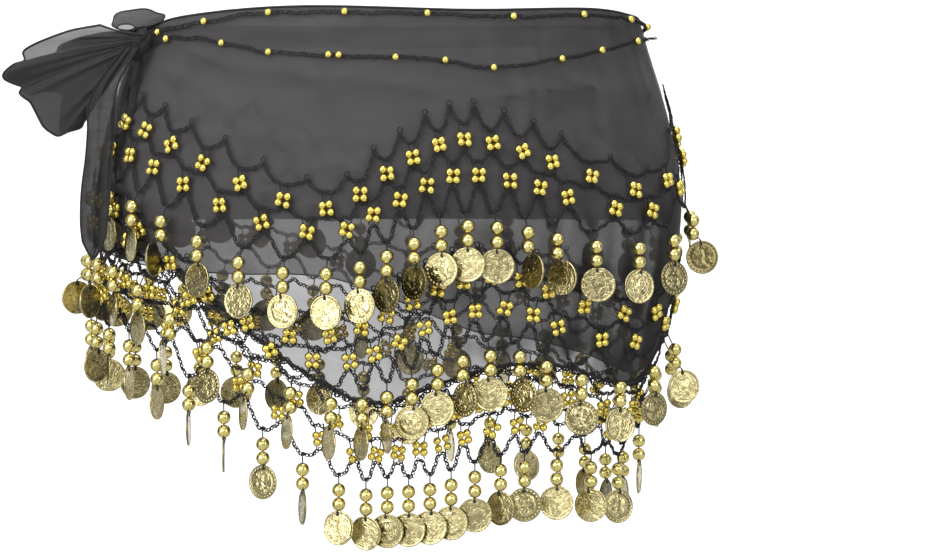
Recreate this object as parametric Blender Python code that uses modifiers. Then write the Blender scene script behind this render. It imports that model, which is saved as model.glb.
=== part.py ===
"""Belly dance hip scarf: sheer chiffon tied at one hip, with bead chains and three crochet nets
that carry pendants. Metres, +Z up, +X at the viewer's right, the front towards -Y.

The scarf is round an open hip form, an oval at each height. A place on it is a turn, a height
and a distance out from the cloth's face. The turn is 0 at the knot's side (-X), 0.25 at the
front centre, 0.5 at the other side (+X) and 0.75 at the back centre."""

import bisect
import math

import bmesh
import bpy
from mathutils import Vector

MM = 0.001

# Cloth and hip form
CLOTH = 1.2 * MM
TIE_CLOTH = 1.6 * MM
DEPTH_TO_WIDTH = 0.66
# Gap between the halves of the cloth, as a share of a turn
SIDE_GAP = 0.0006
CLOTH_ROWS = (0.0, 0.07, 0.15, 0.24, 0.34, 0.46, 0.60, 0.74, 0.88, 1.0)
FLARE, FLARE_TURN, FLARE_TOP, FLARE_RUN = 14 * MM, 0.07, -145 * MM, 50 * MM

# Yarn net
STRAND_THICK = 1.6 * MM
STRAND_HALF = 2.4 * MM
NET_OUT = 1.0 * MM
HEM_NET_OUT = -1.4 * MM
NODE_GAP = 0.35 * MM
ROOT_HALF = 1.2 * MM

# Pendants, measured from the strip's foot
BEAD_DROP, BEAD_HALF, BEAD_PITCH = 9.0 * MM, 3.4 * MM, 7.8 * MM
NECK_HALF = 1.1 * MM
COIN_HALF, COIN_THICK, COIN_DROP = 10 * MM, 1.6 * MM, 30 * MM
COIN_TOP_HALF, COIN_FOOT_HALF = 2.6 * MM, 4.4 * MM
HANG_OUT = 6.9 * MM

# Bead chains
CHAIN_RADIUS, CHAIN_OUT = 1.5 * MM, 2.6 * MM
CHAIN_STEP = 0.0165

# Knot and its ends
KNOT_TURN, KNOT_HEIGHT = 0.077, -22.5 * MM
KNOT_RADII = (8.2 * MM, 8.2 * MM, 11 * MM)
FAN_GAP, LOOP_SINK, TAIL_GAP = 0.6 * MM, 0.2 * MM, 1.5 * MM
LOOP_HALF_WIDE, LOOP_HALF_HIGH, LOOP_DEEP = 12.5 * MM, 7 * MM, 11 * MM

# Half width of the hip form at each height, both mm
HIP = (
    ("height", "half_width"),
    (
        (-340, 141), (-290, 142), (-260, 148), (-233, 157), (-195, 165), (-173, 169),
        (-140, 174), (-113, 176), (-85, 172.5), (-60, 167), (-30, 158), (0, 149), (30, 141),
    ),
)

# Height of the cloth's top edge at each turn, mm
TOP_EDGE = (
    ("turn", "height"),
    (
        (0.00, -9), (0.06, -11), (0.10, -7), (0.19, -3), (0.30, -5), (0.40, -2),
        (0.47, -4), (0.53, -6), (0.66, -3), (0.84, -3), (0.94, -7), (1.00, -9),
    ),
)

# Top line of each net and the valleys of its last zigzag, mm. The third net starts at the hem.
NET_LINES = (
    ("turn", "top_1", "foot_1", "top_2", "foot_2", "top_3", "foot_3"),
    (
        (0.000, -50, -98, -98, -140, -141, -178),
        (0.050, -50, -99, -99, -142, -142, -183),
        (0.090, -53, -106, -112, -152, -146, -196),
        (0.130, -67, -120, -143, -178, -157, -219),
        (0.180, -90, -144, -178, -209, -197, -250),
        (0.225, -106, -148, -177, -223, -226, -274),
        (0.250, -82, -139, -163, -219, -231, -274),
        (0.285, -61, -122, -145, -200, -219, -271),
        (0.320, -67, -124, -142, -195, -210, -262),
        (0.360, -83, -132, -158, -208, -211, -259),
        (0.410, -97, -133, -164, -214, -221, -262),
        (0.445, -84, -127, -166, -203, -217, -262),
        (0.480, -52, -116, -152, -193, -191, -243),
        (0.500, -46, -107, -147, -190, -196, -242),
        (0.560, -84, -129, -165, -212, -217, -262),
        (0.620, -64, -118, -150, -196, -206, -252),
        (0.660, -51, -110, -138, -186, -198, -245),
        (0.700, -66, -118, -140, -184, -193, -238),
        (0.750, -90, -127, -139, -178, -173, -220),
        (0.790, -66, -108, -117, -160, -159, -206),
        (0.850, -48, -97, -105, -149, -157, -200),
        (0.910, -61, -104, -109, -151, -153, -196),
        (0.960, -55, -99, -102, -145, -146, -188),
        (1.000, -50, -98, -98, -140, -141, -178),
    ),
)

# Turn of each net column: gathered at the front centre, wider at the sides and the back
FRONT_COLUMNS = (
    ("column", "turn"),
    ((-3, 0.003), (0, 0.064), (6, 0.210), (7, 0.231), (12, 0.2985), (15, 0.3495), (17, 0.4165), (19, 0.500)),
)
BACK_COLUMNS = (("column", "turn"), ((0, 0.506), (17, 0.975)))
LAST_BACK = 17

# First and last front column of each net
NETS = ({"tier": 1, "columns": (0, 19)}, {"tier": 2, "columns": (-3, 19)}, {"tier": 3, "columns": (-3, 18)})

# Degrees that each front coin is turned from facing out, from the left. The back ones repeat BACK_TURNS.
COIN_TURNS = {
    1: (52, 24, 74, 18, 14, 14, 18, 16, 15, 48, 15, 20, 16, 72, 58, 30, 14, 22, 64),
    2: (66, 15, 58, 20, 18, 62, 16, 56, 58, 60, 62, 74, 16, 20, 58, 18, 62, 24, 20, 14, 18, 60),
    3: (20, 60, 18, 48, 66, 58, 62, 16, 64, 22, 26, 18, 16, 18, 24, 18, 56, 18, 40, 62, 30),
}
BACK_TURNS = (18, 54, 15, 26, 68, 16, 20, 44, 60)

# Height of each bead chain, mm
TOP_CHAIN = (
    ("turn", "height"),
    ((0.094, -13), (0.131, -11), (0.178, -7), (0.27, -8), (0.33, -9), (0.40, -6), (0.48, -9), (0.55, -11), (0.66, -8), (0.84, -8), (0.95, -13)),
)
BELLY_CHAIN = (
    ("turn", "height"),
    ((0.094, -20), (0.13, -21), (0.182, -30), (0.22, -32), (0.284, -35), (0.312, -39), (0.358, -33), (0.393, -27), (0.441, -20), (0.47, -18)),
)

# Soft ridges of the cloth, from one turn and height (mm) to another
RIDGES = (
    ("turn_a", "height_a", "turn_b", "height_b", "rise", "spread"),
    (
        (0.105, -26, 0.270, -54, 2.6, 8),
        (0.120, -44, 0.165, -62, 2.0, 7),
        (0.172, -17, 0.250, -13, 1.8, 6),
        (0.310, -56, 0.400, -50, 2.0, 8),
        (0.560, -30, 0.700, -44, 2.4, 9),
        (0.780, -38, 0.930, -24, 2.6, 8),
    ),
)

# Fan of cloth left of the knot: the end of each ray, mm
FAN_ENDS = (
    ("x", "y", "z"),
    (
        (-176, -47, -10), (-193, -42, -14), (-213, -40, -24), (-231, -42, -37),
        (-224, -36, -49), (-218, -41, -60), (-208, -36, -73), (-199, -41, -74),
        (-190, -38, -72), (-182, -42, -62), (-173, -45, -53),
    ),
)
FAN_STEPS = (0.0, 0.18, 0.42, 0.70, 1.0)
FAN_PLEAT = 2.4 * MM

# Hanging end: centre line and width, mm
TAIL = (
    ("x", "y", "z", "width"),
    (
        (-149, -58, -36, 7), (-158, -61, -46, 11), (-167, -60, -60, 13), (-172, -58.5, -78, 14),
        (-173.5, -58, -100, 15), (-174.5, -58, -124, 14), (-175, -58, -141, 8),
    ),
)
TAIL_PLEATS = (0.0, 2.2 * MM, 0.0, 2.2 * MM, 0.0)

COLOURS = {
    "chiffon": ((0.012, 0.012, 0.014, 1), 0.75, 0.0),
    "yarn": ((0.008, 0.008, 0.009, 1), 0.8, 0.0),
    "gold": ((0.72, 0.55, 0.22, 1), 0.3, 1.0),
}


def smooth(table, name, at):
    """A named column of a table at a place in its first column, on a soft curve through the rows."""
    columns, rows = table
    which = columns.index(name)
    places = [row[0] for row in rows]
    values = [row[which] for row in rows]
    i = min(max(bisect.bisect_right(places, at) - 1, 0), len(rows) - 2)

    def slope(k):
        before, after = max(k - 1, 0), min(k + 1, len(rows) - 1)
        return (values[after] - values[before]) / (places[after] - places[before])

    step = places[i + 1] - places[i]
    t = min(max((at - places[i]) / step, 0), 1)
    rise, fall = t * t * (3 - 2 * t), t * (1 - t)
    ends = values[i] + (values[i + 1] - values[i]) * rise
    return ends + step * fall * (slope(i) * (1 - t) - slope(i + 1) * t)


def straight(table, at):
    """The second column of a two-column table, on straight lines between its rows."""
    rows = table[1]
    i = min(max(bisect.bisect_right([row[0] for row in rows], at) - 1, 0), len(rows) - 2)
    (x0, y0), (x1, y1) = rows[i], rows[i + 1]
    return y0 + (y1 - y0) * (at - x0) / (x1 - x0)


def half_width(height):
    return smooth(HIP, "half_width", height / MM) * MM


def line(name, turn):
    return smooth(NET_LINES, name, turn % 1) * MM


def top_edge(turn):
    return smooth(TOP_EDGE, "height", turn % 1) * MM


def flare(turn, height):
    """How far the scarf's free corner stands off under the knot."""
    side = (turn + 0.5) % 1 - 0.5
    drop = min(max((FLARE_TOP - height) / FLARE_RUN, 0), 1)
    return FLARE * math.exp(-((side / FLARE_TURN) ** 2)) * drop * drop * (3 - 2 * drop)


def ridge(turn, height):
    """How far the cloth's soft ridges stand out here."""
    out = 0.0
    for row in RIDGES[1]:
        r = dict(zip(RIDGES[0], row))
        round_hip = 2 * math.pi * half_width(height) / MM
        ax, az = r["turn_a"] * round_hip, r["height_a"]
        dx, dz = (r["turn_b"] - r["turn_a"]) * round_hip, r["height_b"] - az
        px, pz = turn % 1 * round_hip - ax, height / MM - az
        along = min(max((px * dx + pz * dz) / (dx * dx + dz * dz), 0), 1)
        away = math.hypot(px - along * dx, pz - along * dz) / r["spread"]
        out += r["rise"] * math.exp(-away * away) * math.sin(math.pi * (0.1 + 0.8 * along))
    return out * MM


def on_oval(turn, height, reach, out):
    angle = 2 * math.pi * turn
    across = reach + out
    deep = DEPTH_TO_WIDTH * reach + out
    return Vector((-across * math.cos(angle), -deep * math.sin(angle), height))


def on_hip(turn, height, out=0.0):
    """A point out from the cloth's outer face."""
    out += flare(turn, height) + ridge(turn, height)
    return on_oval(turn, height, half_width(height), out)


def sideways(turn, height, distance):
    """The change of turn that moves a point this far round the hip."""
    angle = 2 * math.pi * turn
    reach = half_width(height)
    return distance / (2 * math.pi * math.hypot(reach * math.sin(angle), DEPTH_TO_WIDTH * reach * math.cos(angle)))


def collection():
    found = bpy.data.collections.new("belly_dance_hip_scarf")
    bpy.context.scene.collection.children.link(found)
    return found


def material(name):
    colour, rough, metal = COLOURS[name]
    made = bpy.data.materials.new(name)
    made.use_nodes = True
    shader = made.node_tree.nodes["Principled BSDF"]
    shader.inputs["Base Color"].default_value = colour
    shader.inputs["Roughness"].default_value = rough
    shader.inputs["Metallic"].default_value = metal
    return made


def add_object(name, data, look):
    made = bpy.data.objects.new(name, data)
    data.materials.append(look)
    home.objects.link(made)
    return made


def mesh_object(name, bm, look):
    mesh = bpy.data.meshes.new(name)
    bm.to_mesh(mesh)
    bm.free()
    return add_object(name, mesh, look)


def thicken(obj, thickness, side):
    """Side 1 adds the thickness outwards, -1 inwards and 0 both ways."""
    modifier = obj.modifiers.new("Thickness", "SOLIDIFY")
    modifier.thickness = thickness
    modifier.offset = side
    modifier.use_rim = True


def sheet(bm, rows, round_tube=False):
    """Faces between rows of points, each row running left to right and the rows downwards."""
    made = [[bm.verts.new(point) for point in row] for row in rows]
    for upper, lower in zip(made, made[1:]):
        count = len(upper)
        for i in range(count if round_tube else count - 1):
            k = (i + 1) % count
            bm.faces.new((upper[i], lower[i], lower[k], upper[k]))


def front_turns(first, last):
    return [straight(FRONT_COLUMNS, column) for column in range(first, last + 1)]


def back_turns():
    return [straight(BACK_COLUMNS, column) for column in range(LAST_BACK + 1)]


def chiffon_wrap(look):
    """The tube round the hips as two halves, with a hairline gap at each side."""
    front, back = front_turns(-3, 19), back_turns()
    halves = {"front": front, "back": [front[-1] + SIDE_GAP] + back + [1 + front[0] - SIDE_GAP]}
    for side, turns in halves.items():
        bm = bmesh.new()
        rows = []
        for part in CLOTH_ROWS:
            rows.append([])
            for turn in turns:
                height = top_edge(turn) * (1 - part) + line("top_3", turn) * part
                rows[-1].append(on_hip(turn, height))
        sheet(bm, rows)
        thicken(mesh_object(f"wrap_{side}", bm, look), CLOTH, -1)


def net_out(tier):
    return HEM_NET_OUT if tier == 3 else NET_OUT


def level(tier, turn, part):
    """Height in a net, from 0 at its top line to 1 at the last valleys. The hem net starts below the cloth."""
    top = line(f"top_{tier}", turn) - (STRAND_HALF + NODE_GAP if tier == 3 else 0)
    return top + (line(f"foot_{tier}", turn) - top) * part


def net(name, tier, turns, look):
    """Two rows of open diamonds. Each strand is a flat face, and where four meet there is a small square."""
    bm = bmesh.new()
    out = net_out(tier)

    def pair(turn, part):
        height = level(tier, turn, part)
        return [bm.verts.new(on_hip(turn, height + side, out)) for side in (STRAND_HALF, -STRAND_HALF)]

    def cross(turn):
        height = level(tier, turn, 1 / 3)
        side = sideways(turn, height, STRAND_HALF)
        north, south = pair(turn, 1 / 3)
        west, east = (bm.verts.new(on_hip(turn + step, height, out)) for step in (-side, side))
        return north, east, south, west

    tops = [pair(turn, 0) for turn in turns]
    feet = [pair(turn, 2 / 3) for turn in turns]
    for i in range(len(turns) - 1):
        north, east, south, west = cross((turns[i] + turns[i + 1]) / 2)
        bm.faces.new((north, west, south, east))
        bm.faces.new((tops[i][0], tops[i][1], west, north))
        bm.faces.new((north, east, tops[i + 1][1], tops[i + 1][0]))
        bm.faces.new((feet[i][0], feet[i][1], south, west))
        bm.faces.new((east, south, feet[i + 1][1], feet[i + 1][0]))
    thicken(mesh_object(name, bm, look), STRAND_THICK, 1)


def bridge(bm, first, second):
    """Faces between two rings of four points."""
    for i in range(4):
        k = (i + 1) % 4
        bm.faces.new((first[i], first[k], second[k], second[i]))


def pendant(bm, root, tier, turn, coin_turn):
    """Two beads and a coin, lofted down from a face of the strip."""
    foot = line(f"foot_{tier}", turn)
    reach = max(half_width(foot - drop * MM) for drop in (0, 20, 40))
    stand = flare(turn, foot)
    sine = math.sin(math.radians(coin_turn))
    bead_out = HANG_OUT if tier < 3 else 0.0
    coin_out = max(bead_out, NET_OUT + STRAND_THICK + COIN_THICK / 2 + COIN_HALF * sine) if tier < 3 else 0.0
    angle = 2 * math.pi * turn
    right = Vector((reach * math.sin(angle), -DEPTH_TO_WIDTH * reach * math.cos(angle), 0)).normalized()
    outward = Vector((right.y, -right.x, 0))
    turned = right * math.cos(math.radians(coin_turn)) + outward * sine
    face = turned.cross(Vector((0, 0, 1)))

    def ring(drop, out, half, thick, along, across):
        centre = on_oval(turn, foot - drop, reach, stand + out)
        corners = ((-half, thick), (half, thick), (half, -thick), (-half, -thick))
        return [bm.verts.new(centre + along * a + across * b) for a, b in corners]

    rings = [root]
    for number in range(2):
        centre = BEAD_DROP + number * BEAD_PITCH
        rings.append(ring(centre, bead_out, BEAD_HALF, BEAD_HALF, right, outward))
        if number == 0:
            rings.append(ring(centre + BEAD_PITCH / 2, bead_out, NECK_HALF, NECK_HALF, right, outward))
    rings.append(ring(COIN_DROP - COIN_HALF, (bead_out + coin_out) / 2, COIN_TOP_HALF, COIN_THICK / 2, turned, face))
    rings.append(ring(COIN_DROP, coin_out, COIN_HALF, COIN_THICK / 2, turned, face))
    rings.append(ring(COIN_DROP + COIN_HALF, coin_out, COIN_FOOT_HALF, COIN_THICK / 2, turned, face))
    for first, second in zip(rings, rings[1:]):
        bridge(bm, first, second)
    bm.faces.new(rings[-1])


def fringe(name, tier, turns, coin_turns, look):
    """A net's last zigzag as one strip, with a pendant fused under each valley."""
    bm = bmesh.new()
    inner = net_out(tier)
    outer = inner + STRAND_THICK

    def ring(turn, height):
        places = ((height + STRAND_HALF, outer), (height - STRAND_HALF, outer), (height - STRAND_HALF, inner), (height + STRAND_HALF, inner))
        return [bm.verts.new(on_hip(turn, z, out)) for z, out in places]

    def peak(turn):
        return ring(turn, level(tier, turn, 2 / 3) - 2 * STRAND_HALF - NODE_GAP)

    last = peak(turns[0])
    bm.faces.new(last)
    for i, coin_turn in zip(range(len(turns) - 1), coin_turns):
        middle = (turns[i] + turns[i + 1]) / 2
        foot = line(f"foot_{tier}", middle)
        side = sideways(middle, foot, ROOT_HALF)
        left, right = ring(middle - side, foot), ring(middle + side, foot)
        bridge(bm, last, left)
        for a, b in ((0, 1), (2, 3), (3, 0)):
            bm.faces.new((left[a], left[b], right[b], right[a]))
        pendant(bm, [left[1], right[1], right[2], left[2]], tier, middle, coin_turn)
        last = peak(turns[i + 1])
        bridge(bm, right, last)
    bm.faces.new(last)
    bmesh.ops.recalc_face_normals(bm, faces=bm.faces)
    mesh_object(name, bm, look)


def nets_and_fringes(yarn, gold):
    for row in NETS:
        tier, (first, last) = row["tier"], row["columns"]
        halves = {"front": front_turns(first, last), "back": back_turns()}
        for side, turns in halves.items():
            coins = COIN_TURNS[tier] if side == "front" else [BACK_TURNS[(i + 2 * tier) % len(BACK_TURNS)] for i in range(LAST_BACK)]
            net(f"net_{tier}_{side}", tier, turns, yarn)
            fringe(f"fringe_{tier}_{side}", tier, turns, coins, gold)


def chain(name, table, look):
    """A round yarn chain on the cloth."""
    first, last = table[1][0][0], table[1][-1][0]
    count = round((last - first) / CHAIN_STEP)
    data = bpy.data.curves.new(name, "CURVE")
    data.dimensions = "3D"
    data.bevel_depth = CHAIN_RADIUS
    data.bevel_resolution = 1
    data.use_fill_caps = True
    spline = data.splines.new("POLY")
    spline.points.add(count)
    for i, point in enumerate(spline.points):
        turn = first + (last - first) * i / count
        height = smooth(table, "height", turn) * MM
        point.co = (*on_hip(turn, height, CHAIN_OUT), 1)
    add_object(name, data, look)


def knot_centre():
    return on_hip(KNOT_TURN, KNOT_HEIGHT, KNOT_RADII[0] + 0.7 * MM)


def tie_knot(look):
    """A rounded lump with the two wraps of the knot as shallow waves."""
    bm = bmesh.new()
    bmesh.ops.create_uvsphere(bm, u_segments=14, v_segments=10, radius=1.0)
    for vert in bm.verts:
        way = vert.co.copy()
        squeeze = 1 - 0.10 * math.sin(4 * math.atan2(way.x, way.z) + 1.2 * way.y) ** 2
        vert.co = Vector([way[i] * KNOT_RADII[i] * squeeze for i in range(3)])
    mesh_object("tie_knot", bm, look).location = knot_centre()


def from_knot(target, gap):
    """Where the line from the knot's middle to a point leaves its lump, with a gap."""
    way = Vector(target) - knot_centre()
    scaled = Vector([way[i] / KNOT_RADII[i] for i in range(3)])
    return knot_centre() + way / scaled.length + way.normalized() * gap


def fan_tail(look):
    """Rays from the knot to the fan's edge, every other one raised into a pleat."""
    bm = bmesh.new()
    ends = [Vector(row) * MM for row in FAN_ENDS[1]]
    rows = []
    for step in FAN_STEPS:
        rows.append([])
        for i, end in enumerate(ends):
            start = from_knot(end, FAN_GAP)
            lift = Vector((0, -1, 0)) * FAN_PLEAT * step * (1 if i % 2 else -1)
            bow = Vector((0, -1, 0.6)) * 4 * MM * math.sin(math.pi * step)
            rows[-1].append(start.lerp(end, step) + lift + bow)
    sheet(bm, rows)
    bmesh.ops.recalc_face_normals(bm, faces=bm.faces)
    thicken(mesh_object("fan_tail", bm, look), TIE_CLOTH, 0)


def hanging_tail(look):
    """A strip folded into narrow pleats, from the knot down to its point."""
    bm = bmesh.new()
    rows = []
    for x, y, z, width in TAIL[1]:
        middle = Vector((x, y, z)) * MM if rows else from_knot(Vector((x, y, z)) * MM, TAIL_GAP)
        rows.append([])
        for i, pleat in enumerate(TAIL_PLEATS):
            across = (i / (len(TAIL_PLEATS) - 1) - 0.5) * width * MM
            rows[-1].append(middle + Vector((across, pleat, 0)))
    sheet(bm, rows)
    thicken(mesh_object("hanging_tail", bm, look), TIE_CLOTH, 0)


def top_loop(look):
    """A band of cloth bent into a low loop that stands on the knot."""
    bm = bmesh.new()
    foot = knot_centre() + Vector((-3 * MM, 0, KNOT_RADII[2] + TIE_CLOTH / 2 - LOOP_SINK))
    middle = foot + Vector((0, 0, LOOP_HALF_HIGH))
    rows = [[], []]
    for i in range(16):
        angle = 2 * math.pi * i / 16
        lean = -3 * MM * math.cos(angle)
        point = middle + Vector((LOOP_HALF_WIDE * math.sin(angle) + lean, 0, -LOOP_HALF_HIGH * math.cos(angle)))
        rows[0].append(point + Vector((0, LOOP_DEEP / 2, 0)))
        rows[1].append(point - Vector((0, LOOP_DEEP / 2, 0)))
    sheet(bm, rows, round_tube=True)
    bmesh.ops.recalc_face_normals(bm, faces=bm.faces)
    thicken(mesh_object("top_loop", bm, look), TIE_CLOTH, 0)


for leftover in list(bpy.data.objects):
    bpy.data.objects.remove(leftover)
home = collection()
looks = {name: material(name) for name in COLOURS}
chiffon_wrap(looks["chiffon"])
nets_and_fringes(looks["yarn"], looks["gold"])
chain("top_chain", TOP_CHAIN, looks["yarn"])
chain("belly_chain", BELLY_CHAIN, looks["yarn"])
tie_knot(looks["chiffon"])
fan_tail(looks["chiffon"])
hanging_tail(looks["chiffon"])
top_loop(looks["chiffon"])
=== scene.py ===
"""Dresses the hip scarf's frame: sheer cloth, crochet nets, bead flowers and coin pendants.

Metres, +Z up, the front towards -Y. A place on the scarf is a turn round an oval hip form, a
height, and a distance out from the cloth's face. The turn is 0 at the knot's side (-X), 0.25 at
the front centre, 0.5 at the other side and 0.75 at the back centre."""

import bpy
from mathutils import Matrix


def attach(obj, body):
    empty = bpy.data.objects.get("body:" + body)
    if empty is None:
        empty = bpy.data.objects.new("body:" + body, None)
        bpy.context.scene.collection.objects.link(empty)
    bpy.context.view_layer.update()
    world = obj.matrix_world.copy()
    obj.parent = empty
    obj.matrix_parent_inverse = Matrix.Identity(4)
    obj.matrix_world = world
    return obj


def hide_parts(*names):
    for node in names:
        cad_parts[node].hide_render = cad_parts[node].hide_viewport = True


bl_info = {
    "name": "Hip Scarf",
    "version": (1, 0, 0),
    "blender": (4, 5, 0),
    "location": "View3D > Sidebar > Hip Scarf",
    "description": "Sheer tied cloth, crochet nets, bead flowers and coin pendants on a fixed frame",
    "category": "Add Mesh",
}

import bisect
import math
import random

import bmesh
import bpy
from bpy.props import FloatProperty, FloatVectorProperty, IntProperty, PointerProperty
from mathutils import Euler, Vector, noise

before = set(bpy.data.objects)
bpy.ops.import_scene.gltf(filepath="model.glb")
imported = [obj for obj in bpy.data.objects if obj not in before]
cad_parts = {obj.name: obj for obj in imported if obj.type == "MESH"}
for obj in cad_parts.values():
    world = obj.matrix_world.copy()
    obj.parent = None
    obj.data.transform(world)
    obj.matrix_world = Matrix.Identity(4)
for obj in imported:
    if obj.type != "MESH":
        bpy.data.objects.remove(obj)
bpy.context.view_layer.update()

MM = 0.001
DEPTH_TO_WIDTH = 0.66

# Offsets and sizes shared with the frame's solids
FLARE, FLARE_TURN, FLARE_TOP, FLARE_RUN = 14 * MM, 0.07, -145 * MM, 50 * MM
STRAND_HALF, STRAND_THICK, NODE_GAP = 2.4 * MM, 1.6 * MM, 0.35 * MM
NET_OUT, HEM_NET_OUT = 1.0 * MM, -1.4 * MM
BEAD_DROP, BEAD_PITCH, HANG_OUT = 9.0 * MM, 7.8 * MM, 6.9 * MM
COIN_THICK, COIN_DROP = 1.6 * MM, 30 * MM
CHAIN_OUT = 2.6 * MM
KNOT_TURN, KNOT_HEIGHT = 0.077, -22.5 * MM
KNOT_RADII = (8.2 * MM, 8.2 * MM, 11 * MM)
LOOP_DEEP = 11 * MM

# How far each ply lies in from the cloth's outer face, how much of its wrinkles the inner ones share,
# how deep the casing is, and the seam of the turned-down ply with its rise at the back
OUTER_IN, INNER_IN, CASING_IN, INNER_CRINKLE = 0.5 * MM, 1.3 * MM, 2.0 * MM, 0.6
CASING_DROP, SEAM_HEIGHT, SEAM_RISE = 13 * MM, -126 * MM, 4 * MM

# Half width at which the gauze's wrinkles are taken, the height over which they grow above the first
# net, and how fine the wrinkles, the gathered folds painted as darker streaks and the patches of painted
# shade are
WRINKLE_REACH, WRINKLE_RUN = 0.17, 30 * MM
COARSE_GRAIN, FINE_GRAIN, GATHER_GRAIN, SHADE_PATCH_GRAIN = 42, 3.1, (120, 120, 16), (38, 38, 48)

# Gathered cloth: the painted shade that darkens its colour and its cover, where it closes up going down,
# the turns with soft patches of painted shade, and how far a crease stands out to be painted fully dark as
# shade
GATHERED_PAINTED_SHADE, GATHERED_COVER = 0.22, 0.97
CLOSE_TOP, CLOSE_RUN = -105 * MM, 20 * MM
SHADE_PATCHES_FROM, SHADE_PATCHES_TO, SHADE_PATCHES_RUN = 0.22, 0.60, 0.06
FULLY_SHADED_CREASE = 0.9 * MM

# A flower joins two zigzags: the upper one's valley over it, the lower one's peak under it, half the
# thread through it, a bead's step from its middle, and the thread's points, across and up
VALLEY_OVER, PEAK_UNDER, FLOWER_HALF, FLOWER_STEP = 8.5 * MM, 5.5 * MM, 6.5 * MM, 2.15 * MM
FLOWER_THREAD = ((1.5, 1.35), (1.0, 0.4), (1.0, -0.4), (1.5, -0.9))

# Share of a zigzag's slope that lies level at each end, how steeply the first zigzag hangs from its
# peaks, and how uneven the rows and the flowers are, mm and radians. Flowers stand out from the yarn.
LEVEL_END, HANG_POWER = 0.13, 1.7
UNEVEN_ROW, UNEVEN_BEAD, FLOWER_LEAN = 1.1, 0.35, 0.45
FLOWER_OUT, HEM_FLOWER_OUT = 1.5 * MM, 0.9 * MM

# Step along the beaded chains, in turns, the drops in mm that a pendant has to clear, and its sway
CHAIN_STEP, HANG_DROPS, COIN_SWAY = 0.002, (0, 20, 40), (0.06, 0.16)

# Sides of a plaited strand, spacing of its points, and the radii of picots, threads and knots
PLAIT_SIDES, STRAND_STEP, PICOT = 4, 1.6 * MM, 1.5 * MM
NET_THREAD, PENDANT_THREAD, HOLE_THREAD, NET_KNOT = 0.40 * MM, 0.42 * MM, 0.95 * MM, 1.25 * MM

# Coin: sides, dots, rings of its back with the rim's lip, rings of its face, its hole and the loop's top,
# and the arc, which shows where the sine of the angle plus the first number is over the second
COIN_SIDES, COIN_DOTS = 48, 24
COIN_BACK = ((0.985, 0.12 * MM), (0.93, 0.0), (0.6, 0.0))
COIN_FRONT = (1.0, 0.97, 0.91, 0.84, 0.77, 0.70, 0.62, 0.50, 0.38, 0.26, 0.13)
COIN_HOLE, COIN_LOOP = 7.9 * MM, 10.6 * MM
ARC_START, ARC_FROM = 0.4, -0.35

# Half width of the hip form at each height, mm
HIP = (
    ("height", "half_width"),
    (
        (-340, 141), (-290, 142), (-260, 148), (-233, 157), (-195, 165), (-173, 169),
        (-140, 174), (-113, 176), (-85, 172.5), (-60, 167), (-30, 158), (0, 149), (30, 141),
    ),
)

# Height of the cloth's top edge at each turn, mm
TOP_EDGE = (
    ("turn", "height"),
    (
        (0.00, -9), (0.06, -11), (0.10, -7), (0.19, -3), (0.30, -5), (0.40, -2),
        (0.47, -4), (0.53, -6), (0.66, -3), (0.84, -3), (0.94, -7), (1.00, -9),
    ),
)

# Top line of each net and the valleys of its last zigzag, mm. The third net starts at the hem.
NET_LINES = (
    ("turn", "top_1", "foot_1", "top_2", "foot_2", "top_3", "foot_3"),
    (
        (0.000, -50, -98, -98, -140, -141, -178),
        (0.050, -50, -99, -99, -142, -142, -183),
        (0.090, -53, -106, -112, -152, -146, -196),
        (0.130, -67, -120, -143, -178, -157, -219),
        (0.180, -90, -144, -178, -209, -197, -250),
        (0.225, -106, -148, -177, -223, -226, -274),
        (0.250, -82, -139, -163, -219, -231, -274),
        (0.285, -61, -122, -145, -200, -219, -271),
        (0.320, -67, -124, -142, -195, -210, -262),
        (0.360, -83, -132, -158, -208, -211, -259),
        (0.410, -97, -133, -164, -214, -221, -262),
        (0.445, -84, -127, -166, -203, -217, -262),
        (0.480, -52, -116, -152, -193, -191, -243),
        (0.500, -46, -107, -147, -190, -196, -242),
        (0.560, -84, -129, -165, -212, -217, -262),
        (0.620, -64, -118, -150, -196, -206, -252),
        (0.660, -51, -110, -138, -186, -198, -245),
        (0.700, -66, -118, -140, -184, -193, -238),
        (0.750, -90, -127, -139, -178, -173, -220),
        (0.790, -66, -108, -117, -160, -159, -206),
        (0.850, -48, -97, -105, -149, -157, -200),
        (0.910, -61, -104, -109, -151, -153, -196),
        (0.960, -55, -99, -102, -145, -146, -188),
        (1.000, -50, -98, -98, -140, -141, -178),
    ),
)

# Turn of each net column: gathered at the front centre, wider at the sides and the back
FRONT_COLUMNS = (
    (-3, 0.003), (0, 0.064), (6, 0.210), (7, 0.231), (12, 0.2985), (15, 0.3495), (17, 0.4165),
    (19, 0.500),
)
BACK_COLUMNS = ((0, 0.506), (17, 0.975))
LAST_BACK = 17
NETS = {1: (0, 19), 2: (-3, 19), 3: (-3, 18)}

# Degrees that each front coin is turned from facing out, from the left. The back ones repeat BACK_TURNS.
COIN_TURNS = {
    1: (10, 24, 74, 18, 14, 14, 18, 24, 42, 48, 28, 20, 16, 72, 58, 30, 14, 22, 64),
    2: (66, 15, 58, 20, 18, 62, 16, 56, 58, 60, 62, 74, 16, 20, 58, 18, 62, 24, 20, 14, 18, 60),
    3: (20, 60, 18, 48, 66, 58, 62, 16, 64, 22, 26, 18, 16, 18, 24, 18, 56, 18, 40, 62, 30),
}
BACK_TURNS = (18, 54, 15, 26, 68, 16, 20, 44, 60)

# Face of each front coin, from the left: R relief, P the plain worn back, D relief painted darker all over as
# shade
COIN_FACES = {
    1: "DPDPPRPRDDRPPPPPPRD",
    2: "PRRRPPRPPPPPRPRPRPRPRP",
    3: "PRPRPDDRDPPRPPRPPRPPR",
}
BACK_FACES = "RPPRPDPRP"

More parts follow.
